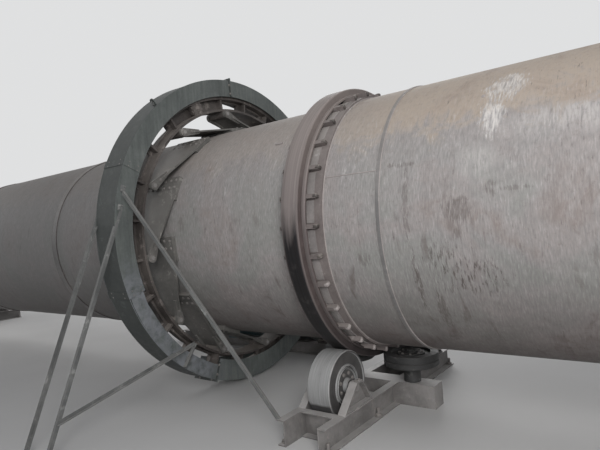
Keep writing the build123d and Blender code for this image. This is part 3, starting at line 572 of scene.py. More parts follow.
@dataclass(frozen=True)
class Coat:
    """Paint or bare metal with dust, stains, chips and worn patches."""

    base: Colour
    worn: Colour
    dust: Colour = (0.300, 0.275, 0.255)
    dusty: float = 0.45
    chipped: float = 0.35
    roughness: float = 0.58
    metallic: float = 0.0
    grain: float = 42.0

    def tone(self, g: Graph, colour: Socket, cloud: Socket, spots: Socket) -> Socket:
        """The colour under chips and dust, which a kind of coat may vary by the coarse and the middle pattern."""
        return colour

    def build(self, name: str) -> bpy.types.Material:
        """Make the material.

        Args:
            name: Its name.

        Returns:
            The material.
        """
        g = Graph(name)
        cloud = g.noise(2.6, 7, 0.62, 0.5)
        spots = g.noise(12, 8, 0.70, 0.3)
        grain = g.noise(self.grain, 5, 0.62)
        colour = g.mix(g.spread(cloud, 0.30, 0.70), shade(self.base, 0.70), shade(self.base, 1.18))
        colour = g.mix(g.spread(grain, 0.36, 0.68, 0, 0.30), colour, shade(self.base, 0.45))
        colour = self.tone(g, colour, cloud, spots)
        chips = g.times(g.spread(spots, 0.57, 0.63), g.spread(cloud, 0.40, 0.58), min(1.0, 2 * self.chipped))
        film = g.math("MAXIMUM", g.times(g.lying(), g.spread(spots, 0.25, 0.55, 0.55, 1)),
                      g.times(g.spread(cloud, 0.45, 0.75), 0.5))
        colour = g.over(colour, (chips, self.worn), (g.times(film, min(1.0, 1.6 * self.dusty)), self.dust))
        gloss = g.spread(spots, 0.3, 0.7, self.roughness - 0.08, self.roughness + 0.15)
        return g.finish(colour, gloss, self.metallic, ((grain, 0.22, 0.001), (spots, 0.28, 0.003)))


@dataclass(frozen=True)
class GuardPaint(Coat):
    """Grey-green sheet paint with upright streaks above, rubbed pale patches low on the near side."""

    rubbed: Colour = (0.190, 0.198, 0.218)
    streak: Colour = (0.160, 0.172, 0.160)
    # Painted shade on the guard's round wall, as a share of the base colour.
    painted_band_shade: float = 0.42

    def tone(self, g: Graph, colour: Socket, cloud: Socket, spots: Socket) -> Socket:
        """Streaks, rubbed patches, and painted shade on the guard's round wall.

        Args:
            g: The material's graph.
            colour: The colour so far.
            cloud: The coarse pattern.
            spots: The middle pattern.

        Returns:
            The colour's socket.
        """
        x, y, z = g.place
        streaks = g.noise(1, 5, 0.65, 0.2, g.joined(g.times(x, 26), g.times(y, 26), g.times(z, 2.2)))
        low = g.times(g.spread(z, 1.50, 1.20), g.spread(z, 0.02, 0.25), g.spread(y, -0.35, -0.75))
        return g.over(
            colour, (g.times(g.spread(streaks, 0.46, 0.70), g.spread(cloud, 0.35, 0.60, 0.2, 1), 0.55), self.streak),
            (g.times(g.spread(streaks, 0.46, 0.32), 0.40), shade(self.base, 0.45)),
            (g.times(low, g.spread(spots, 0.36, 0.60), 0.85), self.rubbed),
            # Painted shade: round faces are darker than the faces that look along the drum.
            (g.spread(g.across(), 0.45, 0.9, 1, 0), shade(self.base, self.painted_band_shade)))


# How each finish is made.
RECIPES = {
    Finish.SHELL: RolledPlate(),
    Finish.TYRE: RidingRing(),
    Finish.BAND: Coat((0.160, 0.136, 0.130), (0.27, 0.24, 0.23), dusty=0.22),
    Finish.PAD: Coat((0.235, 0.215, 0.208), (0.42, 0.40, 0.39), dusty=0.40),
    Finish.SEAM: Coat((0.172, 0.166, 0.163), (0.30, 0.285, 0.27), dust=(0.24, 0.215, 0.198), dusty=0.40),
    Finish.WELD: Coat((0.310, 0.278, 0.268), (0.46, 0.43, 0.41), dusty=0.35, grain=90),
    Finish.GEAR: Coat((0.060, 0.051, 0.047), (0.26, 0.23, 0.21), dust=(0.24, 0.215, 0.195), dusty=0.55),
    Finish.SPRING: Coat((0.118, 0.114, 0.106), (0.28, 0.27, 0.25), dusty=0.30),
    Finish.RIVET: Coat((0.170, 0.158, 0.150), (0.34, 0.32, 0.30), dusty=0.35, grain=120),
    Finish.ROLLER: RollerIron(),
    Finish.THRUST: Coat((0.026, 0.026, 0.026), (0.15, 0.145, 0.14), dust=(0.085, 0.082, 0.08), dusty=0.45),
    Finish.BRIGHT: Coat((0.30, 0.29, 0.28), (0.50, 0.49, 0.48), dusty=0.20, metallic=0.4, roughness=0.45, grain=90),
    Finish.GUARD: GuardPaint((0.096, 0.107, 0.103), (0.17, 0.185, 0.18), dust=(0.17, 0.175, 0.165), dusty=0.10,
                             chipped=0.10),
    Finish.STAY: Coat((0.125, 0.128, 0.126), (0.30, 0.30, 0.29), dust=(0.27, 0.262, 0.25), dusty=0.40, chipped=0.4),
    Finish.FRAME: Coat((0.170, 0.160, 0.154), (0.30, 0.27, 0.25), dust=(0.340, 0.325, 0.315), dusty=0.70),
    Finish.DRIVE: Coat((0.060, 0.105, 0.118), (0.18, 0.17, 0.16), dusty=0.40, roughness=0.48),
}

# The finish of each solid, by how its name starts. The first row that fits counts.
NODE_FINISHES = (
    (("shell_", "lifting_flights"), Finish.SHELL),
    (("seam_straps",), Finish.SEAM),
    (("tyre_pads",), Finish.PAD),
    (("wear_band",), Finish.BAND),
    (("tyre_",), Finish.TYRE),
    (("girth_gear", "pinion_bearings"), Finish.GEAR),
    (("spring_plate_pins", "roller_axles", "slow_coupling"), Finish.BRIGHT),
    (("spring_plates",), Finish.SPRING),
    (("support_roller",), Finish.ROLLER),
    (("thrust_roller",), Finish.THRUST),
    (("guard_stays",), Finish.STAY),
    (("guard_", "pinion_guard"), Finish.GUARD),
    (("pinion",), Finish.GEAR),
    (("reducer", "motor", "coupling_guard"), Finish.DRIVE),
    (("station_frame", "drive_frame"), Finish.FRAME),
)


@cache
def material(finish: Finish) -> bpy.types.Material:
    """The material of a finish, made once."""
    return RECIPES[finish].build(f"{finish.value}_finish")


def dress_solids() -> None:
    """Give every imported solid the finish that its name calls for."""
    for name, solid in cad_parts.items():
        finish = next(finish for starts, finish in NODE_FINISHES if name.startswith(starts))
        for slot in solid.material_slots:
            slot.material = material(finish)
        if not solid.material_slots:
            solid.data.materials.append(material(finish))
    log.info("dressed %d solids", len(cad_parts))


def placed(x_axis: Vector, z_axis: Vector, middle: Spot) -> Matrix:
    """A place from its X axis, its Z axis and its middle."""
    return Matrix.Translation(middle) @ Matrix((x_axis, z_axis.cross(x_axis), z_axis)).transposed().to_4x4()


def radial(angle: float) -> Vector:
    """The direction away from an axis along the drum, at an angle from the near side up over the top."""
    turn = math.radians(angle)
    return Vector((0, -math.cos(turn), math.sin(turn)))


def wheel(x: float, angle: float = 0.0, axis: float | None = None) -> Matrix:
    """A place on the drum's or another axis along it, with Z to the discharge end and X outwards at the angle."""
    return placed(radial(angle), -ALONG, (x, 0, LAYOUT.axis if axis is None else axis))


def on_wheel(x: float, angle: float, radius: float, axis: float | None = None) -> Vector:
    """A point at such an angle and radius."""
    return wheel(x, angle, axis) @ Vector((radius, 0, 0))


def outward(x: float, angle: float, radius: float, axis: float | None = None) -> Matrix:
    """A place at such an angle and radius, with Z pointing outwards and X along the drum."""
    middle = Vector((x, 0, LAYOUT.axis if axis is None else axis))
    return placed(ALONG, radial(angle), middle + radius * radial(angle))


def facing(place: Spot, direction: Spot) -> Matrix:
    """A place with Z pointing in a direction."""
    return Matrix.Translation(place) @ Vector(direction).to_track_quat("Z", "Y").to_matrix().to_4x4()


def add_object(name: str, data: bpy.types.ID) -> bpy.types.Object:
    """Put new data into the scene as an object.

    Args:
        name: The object's name.
        data: Its mesh, lamp or camera.

    Returns:
        The object.
    """
    made = bpy.data.objects.new(name, data)
    bpy.context.scene.collection.objects.link(made)
    return made


class Piece:
    """One new mesh: shapes go in by operators, then it is dressed and rides on a body.

    A bolt's washer, head and threaded end are given as shares of its head's radius over corners.
    """

    WASHER_RADIUS, WASHER_HEIGHT, WASHER_SIDES = 1.28, 0.18, 16
    HEAD_SEAT, HEAD_HEIGHT, HEAD_EDGE, HEAD_SIDES = 0.16, 0.72, 0.14, 6
    END_RADIUS, END_EDGE, END_SIDES = 0.52, 0.08, 12
    ROD_SIDES = 8

    def __init__(self, name: str) -> None:
        """Start an empty piece."""
        self.name = name
        self.bm = bmesh.new()

    def soften(self, edges: Iterable[bmesh.types.BMEdge], offset: float) -> None:
        """Bevel some edges by one face of a given width."""
        bmesh.ops.bevel(self.bm, geom=list(edges), offset=offset, offset_type="OFFSET", segments=1,
                        profile=0.5, affect="EDGES", material=-1, clamp_overlap=True)

    def disc(self, at: Matrix, radius: float, height: float, sides: int, edge: float = 0.0) -> None:
        """A round or many-sided plate that stands on its place.

        Args:
            at: The middle of its foot.
            radius: Its radius over corners.
            height: Its height.
            sides: Its number of sides.
            edge: The bevel of its top edge.
        """
        made = bmesh.ops.create_cone(self.bm, cap_ends=True, segments=sides, radius1=radius, radius2=radius,
                                     depth=height, matrix=at @ Matrix.Translation((0, 0, height / 2)))
        if edge:
            top = at @ Vector((0, 0, height))
            away = at.to_3x3() @ UP
            rim = {e for v in made["verts"] for e in v.link_edges
                   if all(abs((w.co - top).dot(away)) < height / 100 for w in e.verts)}
            self.soften(rim, edge)

    def bolt(self, at: Matrix, radius: float) -> None:
        """A hexagon head on its washer.

        Args:
            at: The middle of its seat.
            radius: The head's radius over corners.
        """
        self.disc(at, self.WASHER_RADIUS * radius, self.WASHER_HEIGHT * radius, self.WASHER_SIDES)
        seat = at @ Matrix.Translation((0, 0, self.HEAD_SEAT * radius))
        self.disc(seat, radius, self.HEAD_HEIGHT * radius, self.HEAD_SIDES, self.HEAD_EDGE * radius)

    def stud(self, at: Matrix, radius: float, length: float) -> None:
        """A nut on its washer, with a threaded end that reaches a given length from the seat."""
        self.bolt(at, radius)
        self.disc(at, self.END_RADIUS * radius, length, self.END_SIDES, self.END_EDGE * radius)

    def dome(self, at: Matrix, radius: float, height: float) -> None:
        """A rounded head, such as a rivet's."""
        squash = Matrix.Diagonal((1, 1, height / radius, 1))
        bmesh.ops.create_uvsphere(self.bm, u_segments=10, v_segments=5, radius=radius, matrix=at @ squash)

    def block(self, at: Matrix, size: Point, edge: float) -> None:
        """A block with softened edges that stands on its place.

        Args:
            at: The middle of its foot.
            size: Its sides.
            edge: The bevel of its edges.
        """
        stretch = Matrix.Diagonal((*size, 1))
        lift = Matrix.Translation((0, 0, size[2] / 2))
        made = bmesh.ops.create_cube(self.bm, size=1, matrix=at @ lift @ stretch)
        self.soften({e for v in made["verts"] for e in v.link_edges}, edge)

    def rod(self, start: Vector, end: Vector, radius: float) -> None:
        """A thin round bar between two points."""
        self.disc(facing(start, end - start), radius, (end - start).length, self.ROD_SIDES)

    def extruded(self, at: Matrix, outline: Sequence[tuple[float, float]], length: float) -> None:
        """A closed outline on the place's X and Y axes, drawn out along its Z axis.

        Args:
            at: The place.
            outline: Its corners.
            length: How far it is drawn out.
        """
        face = self.bm.faces.new([self.bm.verts.new(at @ Vector((x, y, 0))) for x, y in outline])
        made = bmesh.ops.extrude_face_region(self.bm, geom=[face], use_keep_orig=True)
        moved = [v for v in made["geom"] if isinstance(v, bmesh.types.BMVert)]
        bmesh.ops.translate(self.bm, vec=at.to_3x3() @ Vector((0, 0, length)), verts=moved)

    def cut(self, point: Point, away: Point) -> None:
        """Cut off all that lies past a plane, and close the cut.

        Args:
            point: A point on the plane.
            away: The direction in which all is cut off.
        """
        everything = self.bm.verts[:] + self.bm.edges[:] + self.bm.faces[:]
        made = bmesh.ops.bisect_plane(self.bm, geom=everything, dist=1e-6, plane_co=point, plane_no=away,
                                      clear_outer=True)
        edges = [e for e in made["geom_cut"] if isinstance(e, bmesh.types.BMEdge)]
        bmesh.ops.holes_fill(self.bm, edges=edges, sides=0)

    def turned(self, at: Matrix, outline: Sequence[tuple[float, float]], steps: int, sweep: float = 360.0) -> None:
        """A closed outline turned round the place's Z axis, whole or in part.

        Args:
            at: The centre; the outline starts at its X axis.
            outline: Corners as radius and height.
            steps: How many steps the turn takes.
            sweep: How far it turns, in degrees.
        """
        verts = [self.bm.verts.new(at @ Vector((radius, 0, height))) for radius, height in outline]
        edges = [self.bm.edges.new((verts[i - 1], verts[i])) for i in range(len(verts))]
        whole = sweep >= 360
        first = [] if whole else [self.bm.faces.new(verts)]
        axis = at.to_3x3() @ UP
        made = bmesh.ops.spin(self.bm, geom=edges, cent=at.translation, axis=axis, dvec=(0, 0, 0),
                              angle=math.radians(sweep), steps=steps, use_merge=whole, use_normal_flip=False,
                              use_duplicate=False)
        if first:
            last = [e for e in made["geom_last"] if isinstance(e, bmesh.types.BMEdge)]
            bmesh.ops.edgeloop_fill(self.bm, edges=last)

    def bead(self, at: Matrix, radius: float, thickness: float, steps: int = 200, sweep: float = 360.0,
             height: float = 0.0) -> None:
        """A round bead bent round the place's Z axis.

        Args:
            at: The centre.
            radius: The bead's distance from it.
            thickness: The bead's own radius.
            steps: How many steps the turn takes.
            sweep: How far it turns, in degrees.
            height: How far along the axis it lies.
        """
        corners = [math.radians(corner) for corner in range(0, 360, 45)]
        outline = [(radius + thickness * math.cos(turn), height + thickness * math.sin(turn)) for turn in corners]
        self.turned(at, outline, steps, sweep)

    def done(self, body: Body, finish: Finish, sharp: float = 40.0) -> bpy.types.Object:
        """Close the piece, dress it and let it ride.

        Args:
            body: The body that carries it.
            finish: Its finish.
            sharp: The angle past which an edge looks sharp, in degrees.

        Returns:
            The finished object.
        """
        bmesh.ops.recalc_face_normals(self.bm, faces=self.bm.faces[:])
        mesh = bpy.data.meshes.new(self.name)
        self.bm.to_mesh(mesh)
        self.bm.free()
        mesh.polygons.foreach_set("use_smooth", [True] * len(mesh.polygons))
        mesh.set_sharp_from_angle(angle=math.radians(sharp))
        mesh.materials.append(material(finish))
        piece = add_object(self.name, mesh)
        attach(piece, body.value)
        log.info("%s: %d faces on %s", self.name, len(mesh.polygons), body.value)
        return piece


@dataclass(frozen=True)
class BoltRing:
    """Bolts spread evenly round a place's Z axis; those with a reach are nuts with threaded ends.

    The first one's turn is a share of the step between two.
    """

    radius: float
    count: int
    bolt: float
    rise: float = 0.0
    first: float = 0.5
    reach: float = 0.0

    def add(self, piece: Piece, at: Matrix) -> None:
        """Put them into a piece.

        Args:
            piece: The piece.
            at: The ring's middle.
        """
        for index in range(self.count):
            turn = Matrix.Rotation(2 * math.pi * (index + self.first) / self.count, 4, "Z")
            seat = at @ turn @ Matrix.Translation((self.radius, 0, self.rise))
            if self.reach:
                piece.stud(seat, self.bolt, self.reach)
            else:
                piece.bolt(seat, self.bolt)


@dataclass(frozen=True)
class Lid:
    """A cover plate with its bolts in columns and rows."""

    size: Point
    columns: tuple[float, ...]
    rows: tuple[float, ...]
    bolt: float
    edge: float = 0.003

    def add(self, piece: Piece, at: Matrix) -> None:
        """Put the plate and its bolts into a piece.

        Args:
            piece: The piece.
            at: The middle of the plate's foot.
        """
        piece.block(at, self.size, self.edge)
        for column, row in product(self.columns, self.rows):
            piece.bolt(at @ Matrix.Translation((column, row, self.size[2])), self.bolt)


@dataclass(frozen=True)
class ShellFittings:
    """Welds and scars on the drum's shell."""

    strap_halves: tuple[float, ...] = (0.012, 0.0485, 0.0485, 0.012)
    strap_wall: float = 0.008
    bead: float = 0.004
    joint_bead: float = 0.006
    band_bead: float = 0.0055
    seam_angles: tuple[float, ...] = (200.0, 18.8, 140.0, 100.0)
    strap_gap: float = 0.020
    ring_gap: float = 0.110
    seam_gap: float = 0.006
    lug_place: tuple[float, float] = (-0.339, 40.5)
    lug_size: Point = (0.074, 0.018, 0.012)
    lug_edge: float = 0.003
    lug_sink: float = 0.002
    scar_places: tuple[tuple[float, float], ...] = ((-1.05, 31.0), (1.35, 44.0), (2.6, 27.0))
    scar: tuple[float, float] = (0.016, 0.004)

    def seam_welds(self) -> None:
        """Beads along both edges of each circular seam's strap, dark ones at the wide straps."""
        pale, dark = Piece("seam_welds"), Piece("strap_joints")
        for seam, half in zip(LAYOUT.seams, self.strap_halves):
            piece, size = (pale, self.bead) if half == min(self.strap_halves) else (dark, self.joint_bead)
            for side in (-1, 1):
                piece.bead(wheel(seam + side * half), LAYOUT.shell + self.strap_wall / 3, size)
        pale.done(Body.DRUM, Finish.WELD)
        dark.done(Body.DRUM, Finish.GEAR)

    def band_welds(self) -> None:
        """Heavier beads where the bands under the tyres meet the shell."""
        piece = Piece("band_welds")
        for station, edge in product(LAYOUT.stations, LAYOUT.band):
            piece.bead(wheel(station + edge), LAYOUT.shell + self.band_bead / 3, self.band_bead)
        piece.done(Body.DRUM, Finish.WELD)

    def long_welds(self) -> None:
        """The straight seam of each rolled course, set round from its neighbours' seams."""
        piece = Piece("long_welds")
        seams, ends = LAYOUT.seams, LAYOUT.ends
        runs = ((seams[0] + self.strap_gap, ends[1] - self.ring_gap), (LAYOUT.band[1] + self.band_bead, seams[0]),
                (seams[2], seams[1]), (ends[0] + self.ring_gap, seams[3]))
        for (start, end), angle in zip(runs, self.seam_angles):
            tips = [outward(x, angle, LAYOUT.shell).translation for x in (start + self.seam_gap, end - self.seam_gap)]
            piece.rod(*tips, self.bead)
        piece.done(Body.DRUM, Finish.WELD)

    def scars(self) -> None:
        """The stub of a lug that was cut off, and a few weld scars."""
        piece = Piece("shell_scars")
        piece.block(outward(*self.lug_place, LAYOUT.shell - self.lug_sink), self.lug_size, self.lug_edge)
        for x, angle in self.scar_places:
            piece.dome(outward(x, angle, LAYOUT.shell), *self.scar)
        piece.done(Body.DRUM, Finish.WELD)

    def build(self) -> None:
        """Make them all."""
        self.seam_welds()
        self.band_welds()
        self.long_welds()
        self.scars()


@dataclass(frozen=True)
class TyreFittings:
    """The tyres' stepped inner edges, and the raised ends of the blocks that hold them in place, with painted light on
    the lower blocks and painted shade on the upper ones.
    """

    collar_inner: float = 1.1497
    collar_outer: float = 1.1660
    collars: tuple[tuple[float, float], ...] = ((0.0785, 0.115), (-0.100, -0.0785))
    bevel: float = 0.003
    steps: int = 240
    blocks: int = 32
    # Angles between which the block ends take a pale painted light; the rest take a dark painted shade.
    painted_lit: tuple[float, float] = (180.0, 348.0)
    toe_seat: float = 1.122
    toes: tuple[tuple[float, float], ...] = ((0.192, 0.040), (-0.1245, 0.024))
    toe_width: float = 0.030
    toe_height: float = 0.043
    toe_edge: float = 0.007

    def build(self) -> None:
        """Make them for both tyres."""
        inner, outer, edge = self.collar_inner, self.collar_outer, self.bevel
        for name, station in zip(("thrust", "rear"), LAYOUT.stations):
            collars = Piece(f"tyre_collars_{name}")
            painted_lit, painted_shaded = Piece(f"stop_block_toes_{name}"), Piece(f"stop_block_toes_grimy_{name}")
            for start, end in self.collars:
                low, high = -end, -start
                outline = [(inner, low), (outer - edge, low), (outer, low + edge), (outer, high - edge),
                           (outer - edge, high), (inner, high)]
                collars.turned(wheel(station), outline, self.steps)
            for block, (middle, length) in product(range(self.blocks), self.toes):
                angle = 360 * block / self.blocks
                # Painted light and shade: ends on the lower half look lit, those on the upper half look shaded.
                toes = painted_lit if self.painted_lit[0] < angle < self.painted_lit[1] else painted_shaded
                toes.block(outward(station + middle, angle, self.toe_seat),
                           (length, self.toe_width, self.toe_height), self.toe_edge)
            collars.done(Body.DRUM, Finish.TYRE)
            painted_lit.done(Body.DRUM, Finish.WELD)
            painted_shaded.done(Body.DRUM, Finish.GEAR)


@dataclass(frozen=True)
class StationFittings:
    """Bolts and plates on one support station and its rollers; x is its place along the drum."""

    name: str
    x: float
    bracket_wall: float = 0.020
    axle_end: float = 0.178
    axle_cap: tuple[float, float, int] = (0.030, 0.010, 28)
    keeper: Point = (0.100, 0.034, 0.010)
    keeper_rise: float = 0.030
    keeper_edge: float = 0.002
    keeper_bolts: tuple[float, ...] = (-0.036, 0.036)
    keeper_bolt: float = 0.010
    cover_bolt_ring: float = 0.098
    cover_bolt: float = 0.013
    cover_bolts: int = 8
    cover_floor: float = 0.092
    cap_top: float = 0.3946
    cap_out: float = 0.024
    cap_bolts: tuple[float, ...] = (-0.022, 0.022)
    cap_bolt: float = 0.013
    anchor_rows: tuple[float, float] = (1.205, 0.4407)
    anchor_x: float = 0.1975
    anchor: tuple[float, float] = (0.027, 0.070)
    flange: float = 0.009

    def brackets(self) -> None:
        """Cap bolts, axle keepers and anchor nuts."""
        bolts, keepers = Piece(f"frame_bolts_{self.name}"), Piece(f"axle_keepers_{self.name}")
        x, z = self.x, LAYOUT.roller[1]
        for hand, side in product((-1, 1), repeat=2):
            outer = x + hand * (LAYOUT.rail_web + self.bracket_wall)
            y, away = side * LAYOUT.roller[0], (hand, 0, 0)
            keepers.disc(facing((x + hand * self.axle_end, y, z), away), *self.axle_cap, self.keeper_edge)
            keepers.block(facing((outer, y, z + self.keeper_rise), away), self.keeper, self.keeper_edge)
            for shift in self.keeper_bolts:
                seat = (outer + hand * self.keeper[2], y + shift, z + self.keeper_rise)
                keepers.bolt(facing(seat, away), self.keeper_bolt)
            for shift in self.cap_bolts:
                bolts.bolt(facing((outer + hand * self.cap_out, y + shift, self.cap_top), UP), self.cap_bolt)
            for row in self.anchor_rows:
                bolts.stud(facing((x + hand * self.anchor_x, side * row, self.flange), UP), *self.anchor)
        bolts.done(Body.BASE, Finish.RIVET)
        keepers.done(Body.BASE, Finish.FRAME)

    def covers(self) -> None:
        """Cover bolts on both faces of the rollers."""
        y, z = LAYOUT.roller
        for side_name, side in (("near", -1), ("far", 1)):
            piece = Piece(f"cover_bolts_{self.name}_{side_name}")
            for hand, index in product((-1, 1), range(self.cover_bolts)):
                turn = 2 * math.pi * (index + 0.5) / self.cover_bolts
                seat = (self.x + hand * self.cover_floor, side * abs(y) + self.cover_bolt_ring * math.cos(turn),
                        z + self.cover_bolt_ring * math.sin(turn))
                piece.bolt(facing(seat, (hand, 0, 0)), self.cover_bolt)
            piece.done(Body(f"roller_{self.name}_{side_name}"), Finish.RIVET)

    def build(self) -> None:
        """Make them all."""
        self.brackets()
        self.covers()


@dataclass(frozen=True)
class ThrustFittings:
    """Caps and bolts of the thrust rollers."""

    cap: tuple[float, float, int] = (0.046, 0.014, 32)
    cap_edge: float = 0.003
    cap_bolts: BoltRing = BoltRing(0.035, 6, 0.006, first=0)
    collar_top: float = 0.008
    hub_bolts: BoltRing = BoltRing(0.100, 8, 0.010)
    hub_sink: float = 0.006

    def build(self) -> None:
        """Make them for both rollers."""
        caps = Piece("thrust_roller_caps")
        for hand, name, body in ((-1, "gear", Body.THRUST_GEAR), (1, "feed", Body.THRUST_FEED)):
            middle = Vector((hand * LAYOUT.thrust_x, 0, LAYOUT.thrust_top))
            top = Matrix.Translation(middle + self.collar_top * UP)
            caps.disc(top, *self.cap, self.cap_edge)
            self.cap_bolts.add(caps, top @ Matrix.Translation((0, 0, self.cap[1])))
            bolts = Piece(f"thrust_hub_bolts_{name}")
            self.hub_bolts.add(bolts, Matrix.Translation(middle - self.hub_sink * UP))
            bolts.done(body, Finish.RIVET)
        caps.done(Body.BASE, Finish.THRUST)


@dataclass(frozen=True)
class GearFittings:
    """Rivets, washers and pins that hold the girth gear's spring plates."""

    plates: int = 12
    first_lug: float = -8.1
    hinge_radius: float = 1.308
    plate_line: float = 1.128
    plate_half_wall: float = 0.008
    rivet: tuple[float, float] = (0.016, 0.011)
    rivet_rows: tuple[float, ...] = (-0.112, -0.040)
    rivet_columns: tuple[float, ...] = (-0.207, -0.130, -0.050, 0.050, 0.130, 0.207)
    cheek_outer: float = 0.145
    washer: tuple[float, float, int] = (0.030, 0.004, 24)
    washer_edge: float = 0.001
    pin_reach: float = 0.151
    split_pin: tuple[float, float] = (-0.026, 0.028)
    split_pin_radius: float = 0.003
    cheek_bolt: float = 0.014
    cheek_bolt_back: float = 0.090

    def lug_angle(self, plate: int) -> float:
        """The angle of a spring plate's lug."""
        return self.first_lug + 360 * plate / self.plates

    def on_plate(self, plate: int, run: float, across: float, rise: float) -> Matrix:
        """A place on one spring plate, with Z pointing out of its outer face.

        Args:
            plate: The plate's number.
            run: Distance from its foot towards its pin.
            across: Distance from its middle, along the drum.
            rise: Height over its middle plane.

        Returns:
            The place.
        """
        turn = math.degrees(math.acos(self.plate_line / self.hinge_radius))
        foot = outward(LAYOUT.gear_x, self.lug_angle(plate) + turn, self.plate_line)
        return foot @ Matrix.Translation((across, -run, rise))

    def rivets(self) -> None:
        """Rounded rivet heads where the plates lie on the shell."""
        piece = Piece("spring_plate_rivets")
        for plate, run, across in product(range(self.plates), self.rivet_rows, self.rivet_columns):
            piece.dome(self.on_plate(plate, run, across, self.plate_half_wall), *self.rivet)
        piece.done(Body.DRUM, Finish.RIVET)

    def pins(self) -> None:
        """A washer and a split pin on each end of each hinge pin, and a bolt through each cheek."""
        piece = Piece("hinge_pin_fittings")
        bolt_run = math.sqrt(self.hinge_radius ** 2 - self.plate_line ** 2) - self.cheek_bolt_back
        for plate, hand in product(range(self.plates), (-1, 1)):
            angle, away = self.lug_angle(plate), (hand, 0, 0)
            eye = on_wheel(LAYOUT.gear_x + hand * self.cheek_outer, angle, self.hinge_radius)
            piece.disc(facing(eye, away), *self.washer, self.washer_edge)
            tips = [on_wheel(LAYOUT.gear_x + hand * self.pin_reach, angle, self.hinge_radius + end)
                    for end in self.split_pin]
            piece.rod(*tips, self.split_pin_radius)
            bolt = self.on_plate(plate, bolt_run, hand * self.cheek_outer, 0)
            piece.bolt(facing(bolt.translation, away), self.cheek_bolt)
        piece.done(Body.DRUM, Finish.RIVET)

    def build(self) -> None:
        """Make them all."""
        self.rivets()
        self.pins()


@dataclass(frozen=True)
class NearStays:
    """Slim angle bars that hold the guard's near side, in the place of the plainer solids."""

    radius: float = 1.605
    wall: float = 0.004
    brace_gap: float = 0.001
    brace_leg: float = 0.027
    brace_angle: float = 14.9
    brace_foot: Point = (-0.206, -1.252, 0.200)
    leg: float = 0.030
    leg_angle: float = 9.0
    leg_reach: float = 2.390
    leg_past: float = 0.050
    sharp: float = 30.0
    tie_angle: float = -52.2
    tie_top: float = 1.404
    tie_height: float = 0.290
    bracket_width: float = 0.044
    bracket_end: float = 1.648

    def bar(self, piece: Piece, start: Vector, end: Vector, leg: float, side: Vector) -> None:
        """An angle bar whose corner runs between two points.

        Args:
            piece: The piece that it goes into.
            start: One end.
            end: The other end.
            leg: The width of its legs.
            side: The direction of its first leg; the second lies square to it.
        """
        run = (end - start).normalized()
        first = (side - side.dot(run) * run).normalized()
        outline = [(0, 0), (leg, 0), (leg, self.wall), (self.wall, self.wall), (self.wall, leg), (0, leg)]
        piece.extruded(placed(first, run, start), outline, (end - start).length)

    def bracket(self, piece: Piece) -> None:
        """The angle plate on the guard's face that the tie starts from.

        Args:
            piece: The piece that it goes into.
        """
        width, half, wall = self.bracket_width, self.bracket_width / 2, self.wall
        seat = wheel(LAYOUT.guard_faces[0], self.tie_angle, LAYOUT.guard_axis)
        flat = seat @ Matrix.Translation((self.tie_top, 0, 0)) @ Matrix.Rotation(math.pi / 2, 4, "Y")
        outline = [(0, -half), (wall, -half), (wall, half - wall), (width, half - wall), (width, half), (0, half)]
        piece.extruded(flat, outline, self.bracket_end - self.tie_top)

    def build(self) -> None:
        """Make them in the place of the solid stays."""
        piece = Piece("near_stays")
        near, far = LAYOUT.guard_faces
        axis = LAYOUT.guard_axis
        top = on_wheel(near + self.brace_gap, self.brace_angle, self.radius, axis)
        self.bar(piece, top, Vector(self.brace_foot), self.brace_leg, Vector((0, 0, -1)))
        tops = [on_wheel(face + hand * self.wall, self.leg_angle, self.radius, axis)
                for face, hand in ((near, 1), (far, -1))]
        feet = [Vector((top.x, -self.leg_reach, 0)) for top in tops]
        for top, foot, hand in zip(tops, feet, (1, -1)):
            past = foot + (foot - top).normalized() * self.leg_past
            self.bar(piece, top, past, self.leg, -hand * ALONG)
        tie_foot = tops[0].lerp(feet[0], 1 - self.tie_height / tops[0].z) - Vector((0, 0, self.leg / 2))
        tie_top = on_wheel(near + self.wall, self.tie_angle, self.tie_top, axis)
        self.bar(piece, tie_top, tie_foot, self.leg, ALONG)
        self.bracket(piece)
        piece.cut((0, 0, 0), (0, 0, -1))
        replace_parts(piece.done(Body.BASE, Finish.STAY, self.sharp), "guard_stays_near")


